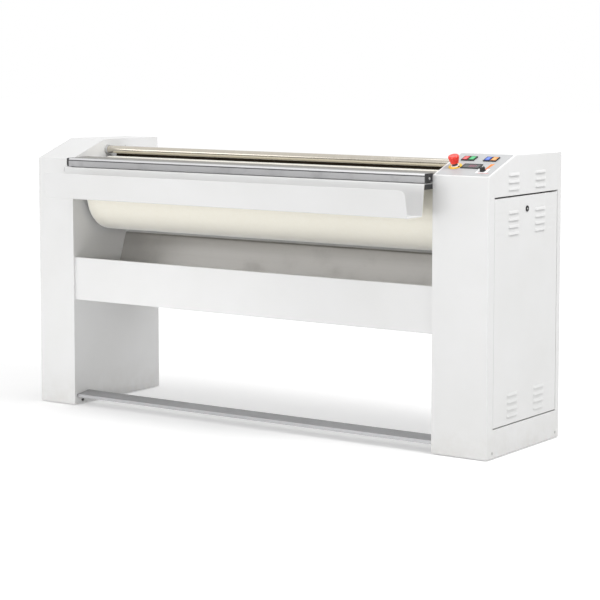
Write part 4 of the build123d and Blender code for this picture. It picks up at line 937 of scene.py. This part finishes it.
slide_low, slide_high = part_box("discharge_slide")
slide_lip, slide_foot = 26 * mm, 25 * mm
slide_bend_y, slide_bend_z = slide_high.y - slide_lip, slide_high.z - slide_lip
slide_foot_y = slide_low.y + slide_foot
slide_line = [(slide_low.y, slide_low.z), (slide_foot_y, slide_low.z), (slide_bend_y, slide_bend_z),
              (slide_high.y, slide_high.z)]
slide = thicken(fold(slide_line, left_wall, right_wall, slide_bend),
                (0, (slide_foot_y + slide_bend_y) / 2, 0.55), (0, -1, 0.3))
# Painted reflection: the lip's faces get white enamel for the bright roller cloth mirrored in them.
for face in slide.faces:
    if face.calc_center_median().z > slide_bend_z + 3 * mm:
        face.material_index = 1
new_piece("slide_sheet", slide, (slide_steel, enamel), "frame", ["discharge_slide"])

rear_low, rear_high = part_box("rear_cover")
rear_hook, rear_flange = 6 * mm, 15 * mm
rear_line = [(rear_low.y, rear_high.z - rear_hook), (rear_low.y, rear_high.z), (rear_high.y, rear_high.z),
             (rear_high.y, rear_low.z), (rear_high.y - rear_flange, rear_low.z)]
rear = thicken(fold(rear_line, left_wall, right_wall, rear_bend), (0, rear_high.y, 0.7), (0, 1, 0))
new_piece("rear_cover_sheet", rear, enamel, "frame", ["rear_cover"])

# %% [markdown]
# ## Roller cloth
# The drum wears felt and an ironing cloth that is wound on under tension. It is a tight pad: round, but
# never quite even, with the cloth's free edge as a low step along its length and its ends drawn in over
# the felt. It starts as a turned ring, and its points are then moved a little in and out. A simulation
# would give the same round form, because the cloth can't sag anywhere.

# %% Ring for the wound cloth
drum_low, drum_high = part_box("roller_drum")
drum_radius = (drum_high.z - drum_low.z) / 2
turns, ring_steps, end_steps = 144, 60, 5
end_round = 9.0 * mm
tuck_depth, tuck_rise, tuck_edge = 3.0 * mm, 6.0 * mm, 1.0 * mm


def end_curve(x, side):
    """Corners of one rounded end, from the drum out to the cloth's surface."""
    arc = [pi / 2 * i / end_steps for i in range(end_steps + 1)]
    return ([(drum_radius, x + side * tuck_depth), (drum_radius + tuck_rise, x + side * tuck_edge)]
            + [(roller_radius - end_round * (1 - sin(a)), x + side * end_round * (1 - cos(a))) for a in arc])


near, far = end_curve(roller_low.x, 1), end_curve(roller_high.x, -1)
gap = (far[-1][1] - near[-1][1]) / ring_steps
body_line = [(roller_radius, near[-1][1] + gap * i) for i in range(1, ring_steps)]
wrap = lathe(near + body_line + far[::-1] + near[:1], turns)
face_outside(put(wrap, Matrix.Rotation(-pi / 2, 4, "Y") @ Matrix.Scale(-1, 4, (0, 0, 1))))
print("cloth ring", len(wrap.faces), "faces", round(roller_radius / mm, 1), "mm radius")

# %% Unevenness, free edge and drawn-in ends
cloth_edge = radians(-35)
cloth_step, felt_hollow = 0.8 * mm, 0.45 * mm
pleats, pleat_depth, draw_reach = 46, 1.3 * mm, 0.045
tape_width = 13.0 * mm
cloth_uv = wrap.loops.layers.uv.new("cloth")


def round_place(spot):
    """Angle past the cloth's free edge, and radius, of a point of the ring."""
    return (atan2(spot.z, spot.y) - cloth_edge) % (2 * pi), hypot(spot.y, spot.z)


for v in wrap.verts:
    angle, radius = round_place(v.co)
    if radius < drum_radius + 1 * mm:
        continue
    if angle > 2 * pi - 1.5 * pi / turns or angle < 1e-4:
        angle = 0.0
    from_end = min(v.co.x - roller_low.x, roller_high.x - v.co.x)
    drawn = max(0.0, 1 - from_end / draw_reach) ** 2
    crease = 0.5 + 0.5 * sin(pleats * angle + 2.5 * uneven(Vector((angle * 3, from_end * 20, 4.0))))
    soft = 0.5 + 0.5 * uneven(Vector((v.co.x * 7, sin(angle) * 2.2, cos(angle) * 2.2)))
    radius -= cloth_step * angle / (2 * pi) + pleat_depth * drawn * crease + felt_hollow * soft
    v.co.y, v.co.z = radius * cos(angle + cloth_edge), radius * sin(angle + cloth_edge)
for face in wrap.faces:
    middle = face.calc_center_median()
    middle_angle = round_place(middle)[0]
    for loop in face.loops:
        angle, radius = round_place(loop.vert.co)
        angle += 2 * pi * round((middle_angle - angle) / (2 * pi))
        side = -1 if loop.vert.co.x < 0 else 1
        loop[cloth_uv].uv = (loop.vert.co.x + side * (roller_radius - radius), angle * roller_radius)
    if min(middle.x - roller_low.x, roller_high.x - middle.x) < tape_width:
        face.material_index = 1
put(wrap, Matrix.Translation((0, roller_y, roller_z)))
roller_wrap = new_piece("roller_wrap", wrap, (cream_cloth, hem_tape), "roller",
                        ["roller_cover", "roller_padding"], 40, flats=False)

# %% [markdown]
# ## Pivot tube and its bushes
# The chest hangs from a polished tube just above the roller. Its wall shows at both ends, so it is
# turned with its bore, and its edges are broken as on a cut tube. The bushes are turned the same way.

# %% Tube and bushes
tube_wall, broken = 2.5 * mm, 0.5 * mm
bore = tube_radius - tube_wall
tube_line = [(bore, tube_low.x), (tube_radius - broken, tube_low.x), (tube_radius, tube_low.x + broken),
             (tube_radius, tube_high.x - broken), (tube_radius - broken, tube_high.x), (bore, tube_high.x),
             (bore, tube_low.x)]
tube = put(lathe(tube_line, 64), along_x_at(0, tube_y, tube_z))
new_piece("polished_tube", tube, tube_steel, "chest", ["pivot_tube"])

flange, flange_radius, flange_edge, bush_radius = 3.0 * mm, 20.0 * mm, 0.8 * mm, 17.5 * mm
bush_low, bush_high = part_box("tube_bushes")
fit = tube_radius + 0.05 * mm
halves = []
for wall, side, end in ((left_wall, 1, bush_low.x), (right_wall, -1, bush_high.x)):
    reach = abs(end - wall)
    bush_line = [(fit, -flange), (flange_radius - flange_edge, -flange),
                 (flange_radius, flange_edge - flange), (flange_radius, 0), (bush_radius, 0),
                 (bush_radius, reach), (fit, reach), (fit, -flange)]
    turn = Matrix.Rotation(-side * pi / 2, 4, "Y")
    halves.append(put(lathe(bush_line), Matrix.Translation((wall, tube_y, tube_z)) @ turn))
new_piece("turned_bushes", join(*halves), pale_nylon, "frame", ["tube_bushes"])

# %% [markdown]
# ## Finger guard
# The guard is an aluminium extrusion, so it is drawn here as one: a section with its wall, its groove,
# its flange and the round channel that takes the pivot screws, pulled along the roller. Its upper front
# edge is a bevel with a groove right below it. The bevel gets a lighter metal as a painted highlight and
# the groove a dark one as painted shade, and these two lines are what one sees of it from afar.

# %% Guard extrusion
guard_low, guard_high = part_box("guard_bar")
wall, flange_drop, foot_width = 2.5 * mm, 11 * mm, 12 * mm
y0, y1, z0, z1 = guard_low.y, guard_high.y, guard_low.z, guard_high.z
bevel_foot, bevel_back = z1 - 6.0 * mm, y0 + 4.6 * mm
groove_low, groove_high, groove_floor = z1 - 10.4 * mm, z1 - 7.4 * mm, y0 + 1.5 * mm
section = [(y0, z0), (y0, groove_low), (groove_floor, groove_low), (groove_floor, groove_high),
           (y0, groove_high), (y0, bevel_foot), (bevel_back, z1), (y1, z1), (y1, z1 - flange_drop),
           (y1 - wall, z1 - flange_drop), (y1 - wall, z1 - wall), (y0 + wall, z1 - wall),
           (y0 + wall, z0 + wall), (y0 + foot_width, z0 + wall), (y0 + foot_width, z0)]
guard = bar(section, guard_low.x, guard_high.x)
soften(guard, 0.35 * mm, 50)
pin_y, pin_z, pin_bore, pin_wall = y0 + 14 * mm, z0 + 15.5 * mm, 4.4 * mm, 3 * mm
channel = pipe(pin_bore, pin_bore + pin_wall, guard_low.x, guard_high.x, 32)
put(channel, along_x_at(0, pin_y, pin_z))
web_half, web_front, web_back = 1.2 * mm, y0 + wall / 2, pin_y - pin_bore - 1 * mm
web = bar([(web_front, pin_z - web_half), (web_front, pin_z + web_half),
           (web_back, pin_z + web_half), (web_back, pin_z - web_half)], guard_low.x, guard_high.x)
guard_finishes = (guard_metal, guard_edge_highlight, guard_groove_painted_shade)
guard_extrusion = new_piece("guard_extrusion", join(guard, channel, web), guard_finishes, "guard",
                            ["guard_bar"])
# The bevel faces get the painted highlight and the groove faces the painted shade.
for face in guard_extrusion.data.polygons:
    y, z = face.center.y, face.center.z
    if bevel_foot < z < z1 - 0.2 * mm and y < bevel_back and face.normal.y < -0.3:
        face.material_index = 1
    elif groove_low - 0.1 * mm < z < groove_high + 0.1 * mm and y0 + 0.4 * mm < y < groove_floor + 0.1 * mm:
        face.material_index = 2

# %% [markdown]
# ## Foot bar
# The foot bar is a second extrusion, wide enough for a shoe. Its tread has five grip grooves, which is
# what gives the bright and dark lines along it, and two round channels hold the end plugs.

# %% Foot bar extrusion
bar_low, bar_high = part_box("pedal_bar")
rise, thick = 8.0 * mm, 3.0 * mm
y0, y1, z1 = bar_low.y, bar_high.y, bar_high.z
z0 = z1 - rise
lip_low, lip_back = z0 - 13 * mm, z1 - 10.4 * mm
slit_low, slit_high, slit_floor = z0 - 7.0 * mm, z0 - 4.6 * mm, y0 + 1.4 * mm
along = Vector((y1 - y0, z1 - z0)).normalized()
down = Vector((along.y, -along.x))
tread_length = hypot(y1 - y0, rise)
grips, first_grip, grip_pitch = 5, 0.17, 0.15
grip_line = ((0, 0), (0.8 * mm, 1.1 * mm), (3.0 * mm, 1.1 * mm), (3.8 * mm, 0))
grip = [tuple(Vector((y0, z0)) + along * (tread_length * (first_grip + grip_pitch * i) + run) + down * depth)
        for i in range(grips) for run, depth in grip_line]
section = [(y0, lip_low), (y0, slit_low), (slit_floor, slit_low), (slit_floor, slit_high), (y0, slit_high),
           (y0, z0), *grip, (y1, z1), (y1, lip_back), (y1 - thick, lip_back),
           (y1 - thick, z1 - thick * 1.12), (y0 + thick, z0 - thick * 0.9), (y0 + thick, lip_low)]
foot = bar(section, bar_low.x, bar_high.x)
soften(foot, 0.4 * mm, 25)
plug_bore, plug_wall = 3.5 * mm, 2.5 * mm
channels = [put(pipe(plug_bore, plug_bore + plug_wall, bar_low.x, bar_high.x, 24), along_x_at(0, y, z))
            for y, z in ((y0 + 6 * mm, z0 - 6 * mm), (y1 - 6 * mm, z1 - 7 * mm))]
new_piece("foot_bar_extrusion", join(foot, *channels), pedal_metal, "pedal", ["pedal_bar"])

# %% [markdown]
# ## Console
# Everything on the console sits square to the slope of the right-hand column. One matrix carries a piece
# that is made flat on the floor to its place there, measured across from the column's inner face, up
# the slope from its front edge, and above the sheet. Its sizes are in millimetres.

# %% Place on the slope
slope = atan2(knee - front_edge, facet_depth)
slope_length = hypot(facet_depth, knee - front_edge) / mm
film_width, film_margin, film_top = 210.0, 8.0, 0.8
stop_spot, tab_spot = (46.5, 81.0), (66.0, 73.5)
knob_spot, pointer_spot, display_spot = (173.5, 51.0), (173.5, 54.6), (111.0, 85.0)
field_spot, rule_spot = (173.0, 51.0), (185.0, 31.5)
key_spots = {"red": 53.0, "green": 79.5, "blue": 142.5, "orange": 168.5}
key_run = 151.0


def on_console(across, run):
    start = Matrix.Translation((right_wall, front_y, front_edge)) @ Matrix.Rotation(slope, 4, "X")
    return start @ Matrix.Translation((across * mm, run * mm, 0.0))


def tower(sections, edge=0.0):
    """Rectangular solid that changes its size on the way: a list of (width, length, height)."""
    bm = bmesh.new()
    width, length, height = sections[0]
    bmesh.ops.create_grid(bm, x_segments=1, y_segments=1, size=0.5)
    bmesh.ops.scale(bm, vec=(width * mm, length * mm, 1), verts=bm.verts[:])
    bmesh.ops.translate(bm, vec=(0, 0, height * mm), verts=bm.verts[:])
    top = bm.faces[:]
    for step, (w, l, h) in enumerate(sections[1:]):
        grown = bmesh.ops.extrude_face_region(bm, geom=top)
        if step:
            bmesh.ops.delete(bm, geom=top, context="FACES_ONLY")
        verts = new_corners(grown)
        bmesh.ops.scale(bm, vec=(w / width, l / length, 1), verts=verts)
        bmesh.ops.translate(bm, vec=(0, 0, (h - height) * mm), verts=verts)
        top = new_corners(grown, bmesh.types.BMFace)
        width, length, height = w, l, h
    face_outside(bm)
    if edge:
        soften(bm, edge * mm)
    return bm


def block(width, length, low, high, edge=0.0):
    return tower([(width, length, low), (width, length, high)], edge)


overlay = block(film_width, slope_length - 2 * film_margin, 0, film_top)
uprights = [e for e in overlay.edges if abs(e.verts[0].co.z - e.verts[1].co.z) > 0.1 * mm]
round_off(overlay, uprights, 3 * mm, 4)
put(overlay, on_console(film_width / 2 + film_margin, slope_length / 2))
new_piece("panel_overlay", overlay, film, "frame", ["control_overlay"])

# %% [markdown]
# ### Stop button
# The stop button is a red mushroom that tapers towards its foot, on a yellow disc. All of it is lathe
# work: the disc with its collar, and the head with a shallow dish on top and a bore for its stem.

# %% Stop button
stop_place = on_console(*stop_spot)
disc_line = [(11.0, -18), (11.0, 0.8), (23.9, 0.8), (24.5, 1.3), (24.5, 2.2), (23.9, 2.8), (15.2, 2.8),
             (10.05, 2.8), (10.05, -18), (11.0, -18)]
collar_line = [(10.05, 2.8), (15.0, 2.8), (15.0, 5.3), (14.5, 5.8), (10.55, 5.8), (10.05, 5.3), (10.05, 2.8)]
head_line = [(7.05, 14.0), (13.9, 14.0), (14.6, 14.6), (16.2, 20.5), (18.2, 28.0), (19.6, 34.0),
             (20.0, 37.0), (19.7, 39.2), (18.8, 41.1), (17.2, 42.3), (15.2, 42.7), (11.0, 42.3), (5.0, 42.0),
             (0, 41.95), (0, 31.1), (7.05, 31.1), (7.05, 14.0)]
new_piece("stop_disc", put(turned(disc_line, 64), stop_place), yellow_plastic, "frame", ["estop_base"])
new_piece("stop_collar", put(turned(collar_line), stop_place), white_print, "frame")
new_piece("stop_tab", put(block(5.0, 6.5, 2.8, 5.4, 0.6), on_console(*tab_spot)), black_plastic, "frame")
new_piece("stop_head", put(turned(head_line, 64), stop_place), red_head, "estop_head", ["estop_head"],
          50)

# %% [markdown]
# ### Lock pin
# The door's lock is black with a bright pin in its middle that the key fits over. The pin is turned and
# stands in the slot of the lock, a touch proud of its face so that it catches the light.

# %% Lock pin
pin_line = [(0, 1.05), (2.9, 1.05), (2.9, 2.1), (2.5, 2.5), (1.4, 2.6), (0, 2.6)]
new_piece("lock_pin", put(turned(pin_line, 32), along_x_at(right_x, lock_y, lock_z)), zinc, "lock")

# %% [markdown]
# ### Display, keys and knob
# The display is a black frame with a dark window, and its digits glow faintly through the glass. The
# keys sit in pairs in deep black frames, so that none is pressed by mistake, and each has a paler lens
# in the middle of its face. The knob is fluted to turn with dry fingers.

# %% Display
housing_line = [(68, 33, -40), (68, 33, 0.8), (73, 38, 0.8), (73, 38, 3.8), (64, 26, 3.8), (64, 26, 3.0)]
housing = put(tower(housing_line, 0.5), on_console(*display_spot))
new_piece("display_frame", housing, black_plastic, "frame", ["display_module"])
window = put(block(63.6, 25.6, 3.0, 3.3), on_console(*display_spot))
new_piece("display_window", window, dark_glass, "frame")

first_digit, digit_pitch, digit_low, digit_high = 99.0, 12.5, 3.3, 3.36
segments = {"1": "bc", "8": "abcdefg", "0": "abcdef"}
strokes = {"a": (0, 8, 6.2, 1.6), "b": (3.9, 4, 1.6, 6.2), "c": (3.9, -4, 1.6, 6.2), "d": (0, -8, 6.2, 1.6),
           "e": (-3.9, -4, 1.6, 6.2), "f": (-3.9, 4, 1.6, 6.2), "g": (0, 0, 6.2, 1.6)}
lit = []
for place, digit in enumerate("180"):
    for name in segments[digit]:
        x, y, width, length = strokes[name]
        spot = on_console(first_digit + digit_pitch * place + x, display_spot[1] + y)
        lit.append(put(block(width, length, digit_low, digit_high), spot))
new_piece("display_digits", join(*lit), dim_digit, "frame")

# %% Key frames and keys
well_line = [(22.4, 31.4, -18), (22.4, 31.4, 0.8), (25.8, 35, 0.8), (25.8, 35, 4.8), (19.6, 28.6, 4.8),
             (19.6, 28.6, -16)]
key_line = [(19.2, 28.2, -13.9), (19.2, 28.2, 5.0), (17.4, 26.4, 6.0), (14.2, 23.2, 6.0), (12.6, 21.4, 5.5)]
lens_area = 150 * mm * mm
frames = []
for colour, across in key_spots.items():
    frames.append(put(tower(well_line, 0.45), on_console(across, key_run)))
    key = tower(key_line, 0.4)
    for face in key.faces:
        if face.normal.z > 0.99 and face.calc_area() > lens_area:
            face.material_index = 1
    put(key, on_console(across, key_run))
    new_piece(colour + "_key", key, key_finishes[colour], colour + "_button", [colour + "_button"])
new_piece("key_frames", join(*frames), black_plastic, "frame", ["button_bezels"])

# %% Knob with its flutes and pointer
flutes, flute_depth = 14, 0.055
knob_line = [(0, 0.82), (10.3, 0.82), (10.5, 1.2), (10.5, 3.0), (10.1, 4.0), (9.7, 13.6), (9.1, 15.0),
             (8.0, 15.8), (0, 15.8)]
knob = turned(knob_line, 6 * flutes)
for v in knob.verts:
    if 3.5 * mm < v.co.z < 15.2 * mm and hypot(v.co.x, v.co.y) > 8.5 * mm:
        pinch = 1 - flute_depth * (0.5 + 0.5 * cos(flutes * atan2(v.co.y, v.co.x)))
        v.co.x, v.co.y = v.co.x * pinch, v.co.y * pinch
shaft = pipe(0, 3 * mm, -12 * mm, 0.9 * mm, 24)
fluted = put(join(knob, shaft), on_console(*knob_spot))
new_piece("fluted_knob", fluted, black_plastic, "knob", ["speed_knob"], 40)
pointer = put(block(1.3, 7.0, 15.8, 15.86), on_console(*pointer_spot))
new_piece("knob_pointer", pointer, white_print, "knob")

# %% [markdown]
# ### Print on the film
# Round the knob the film carries a white field, and a wedge that widens from red to orange shows which
# way the roller goes faster. Both are prints, so they are only slivers thicker than nothing, laid on it.

# %% Print
ticks_round, first_tick, tick_angle, tick_radius = 11, 135, 27, 14.6 * mm
print_top = 0.84
wedge_line = [(175.0, 60.0), (180.5, 60.0), (189.0, 114.0), (173.5, 111.0)]
field = put(block(44, 36, film_top, print_top), on_console(*field_spot))
new_piece("speed_field", field, white_print, "frame")
rule = put(block(44, 1.8, film_top, 0.86), on_console(*rule_spot))
new_piece("speed_rule", rule, wedge_print, "frame")
ticks = []
for i in range(ticks_round):
    turn = Matrix.Rotation(radians(first_tick - tick_angle * i), 4, "Z")
    spot = on_console(*knob_spot) @ turn @ Matrix.Translation((0, tick_radius, 0))
    ticks.append(put(block(0.7, 2.6 if i % 5 else 3.8, print_top, 0.88), spot))
new_piece("speed_ticks", join(*ticks), black_plastic, "frame")

wedge = bmesh.new()
base = wedge.faces.new([wedge.verts.new((x * mm, y * mm, film_top * mm)) for x, y in wedge_line])
raise_faces(wedge, [base], (0, 0, 0.07 * mm))
new_piece("speed_wedge", put(wedge, on_console(0, 0)), wedge_print, "frame")

# %% [markdown]
# ## Holes in the console
# The cover under the film is punched for everything that reaches inside: the stop button's barrel, the
# display, the four keys, the knob's shaft, and the cable gland in the back.

# %% Punch the cover
gland_low, gland_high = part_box("cable_gland")
gland_x, gland_z = (gland_low.x + gland_high.x) / 2, (gland_low.z + gland_high.z) / 2
gland_place = Matrix.Translation((gland_x, back_y, gland_z)) @ Matrix.Rotation(-pi / 2, 4, "X")
reach = (-8, 4)
punches = [put(block(69, 34, *reach), on_console(*display_spot))]
punches += [put(block(22.6, 31.6, *reach), on_console(across, key_run)) for across in key_spots.values()]
punches += [put(pipe(0, radius * mm, reach[0] * mm, reach[1] * mm, 32), on_console(*spot))
            for spot, radius in ((stop_spot, 11.05), (knob_spot, 3.4))]
punches.append(put(pipe(0, 10.05 * mm, -6 * mm, 6 * mm, 32), gland_place))
punch_count = len(punches)
cut_with(covers["right_cover"], join(*punches))
for face in covers["right_cover"].data.polygons:
    face.use_smooth = True
print("cover", len(covers["right_cover"].data.polygons), "faces after", punch_count, "punches")

# %% [markdown]
# ## Small hardware
# The sheets are held by small socket screws, and a ribbed gland sits low in the back. Screws are turned,
# and their sockets are pressed six-sided by pulling a ring of points to a hexagon.

# %% Screws and gland
def socket_screw(radius, height, socket, place):
    """Low round head with a six-sided socket, in millimetres."""
    line = [(0, 0), (radius, 0), (radius, height * 0.55), (radius - height * 0.45, height), (socket, height),
            (socket, height * 0.35), (0, height * 0.35)]
    bm = turned(line, 24)
    for v in bm.verts:
        if abs(hypot(v.co.x, v.co.y) - socket * mm) < 0.01 * mm:
            turn = (atan2(v.co.y, v.co.x) % (pi / 3)) - pi / 6
            scale = cos(pi / 6) / cos(turn)
            v.co.x, v.co.y = v.co.x * scale, v.co.y * scale
    return put(bm, place)


screw_head = 1.8
wall_screw_y, wall_screw_z = front_y + 326 * mm, knee - 32.5 * mm
foot_screws = [along_x_at(x, y, 23 * mm, side) for x, side in ((left_x, -1), (right_x, 1))
               for y in (front_y + 37 * mm, front_y + 507 * mm)]
service_screws = [along_x_at(left_x - sheet, y, z, -1) for y in inset(service_sides, service_lap / 2)
                  for z in inset(service_heights, service_lap / 2)]
wall_screws = [along_x_at(x, wall_screw_y, wall_screw_z, side)
               for x, side in ((left_wall, 1), (right_wall, -1))]
pivot_screws = [along_x_at(x, pin_y, pin_z, side) for x, side in ((left_wall, -1), (right_wall, 1))]
heads = [socket_screw(radius, screw_head, socket, place)
         for radius, socket, places in ((5.0, 2.6, foot_screws + service_screws), (3.5, 1.9, wall_screws),
                                        (4.5, 2.2, pivot_screws)) for place in places]
new_piece("socket_screws", join(*heads), zinc, "frame", ["panel_screws"])

hexagon = pipe(8 * mm, 16 * mm, 0, 8 * mm, 6)
soften(hexagon, 0.6 * mm, 40)
dome_line = [(8, 8), (14, 8), (14, 12), (13.4, 12.6), (14, 13.2), (14, 17.5), (13.4, 18.1), (14, 18.7),
             (14, 21), (11.5, 24), (8, 24), (8, 8)]
neck = pipe(8 * mm, 10 * mm, -11.5 * mm, 0.2 * mm, 32)
nut = pipe(10 * mm, 16 * mm, -6.5 * mm, -1.5 * mm, 6)
gland = put(join(hexagon, turned(dome_line), neck, nut), gland_place)
new_piece("inlet_gland", gland, black_plastic, "frame", ["cable_gland"])

# %% [markdown]
# ## Heat insulation
# Behind the heaters lies a mineral wool mat. It is soft, so it doesn't fill its space like a block: its
# faces are a little lumpy and its long edges are rounded. It is bent from a flat mat round the roller.

# %% Mineral wool mat
wool_low, wool_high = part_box("chest_insulation")
wool_inner, wool_outer = 165.6 * mm, 189.6 * mm
mat_low, mat_high, chest_hang = radians(-42.0), radians(48.0), radians(3.0)
mat_steps, mat_rows = 46, 90
mat_length, mat_middle = wool_high.x - wool_low.x, (wool_low.x + wool_high.x) / 2
edge_hollow, edge_reach, lump, mat_slack = 3.0 * mm, 0.03, 1.6 * mm, 0.5 * mm

mat = bmesh.new()
bmesh.ops.create_grid(mat, x_segments=mat_rows, y_segments=mat_steps, size=0.5)
raise_faces(mat, mat.faces[:], (0, 0, 1))
for v in mat.verts:
    across, up, out = v.co
    rim = min(0.5 - abs(up), (0.5 - abs(across)) * mat_length / 0.5)
    bumps = 0.5 + 0.5 * uneven(Vector((across * 40, up * 9, out)))
    hollow = edge_hollow * max(0.0, 1 - rim / edge_reach) + lump * bumps
    angle = mat_low + (mat_high - mat_low) * (up + 0.5)
    depth = wool_inner + hollow + (wool_outer - wool_inner - 2 * hollow) * out
    v.co = (mat_middle + across * (mat_length - mat_slack),
            roller_y + depth * cos(angle), roller_z + depth * sin(angle))
pivot = Matrix.Translation((0, tube_y, tube_z))
put(mat, pivot @ Matrix.Rotation(chest_hang, 4, "X") @ pivot.inverted())
wool_mat = new_piece("wool_mat", mat, wool, "chest", ["chest_insulation"], 60, flats=False)

# %% [markdown]
# ## Finishes for the parts that stay
# The other parts of the frame have the right shape already, and only get their finish.

# %% Dress the frame's own parts
kept = {
    enamel: ["left_inner_plate", "right_inner_plate", "base_plates", "cross_beams"],
    black_plastic: ["levelling_feet", "guard_caps", "pedal_plugs"],
    black_steel: ["front_brackets", "motor_bracket"],
    drum_steel: ["roller_drum"],
    zinc: ["roller_journals", "bearing_bolts", "heater_clamps", "tie_rod"],
    iron: ["bearing_housings", "roller_pulley", "motor_pulley"],
    chest_metal: ["chest_plate", "chest_jacket"],
    heater_metal: ["heating_elements"],
    belt_rubber: ["drive_belt"],
    gear_paint: ["gearbox", "drive_motor"],
    box_paint: ["control_box"],
    lever_paint: ["chest_arms", "pedal_arms"],
    grey_plastic: ["estop_stem"],
    lock_steel: ["door_lock"],
}
for material, names in kept.items():
    for name in names:
        part = bpy.data.objects[name]
        part.data.materials.clear()
        part.data.materials.append(material)
print("dressed", sum(len(names) for names in kept.values()), "parts of the frame")
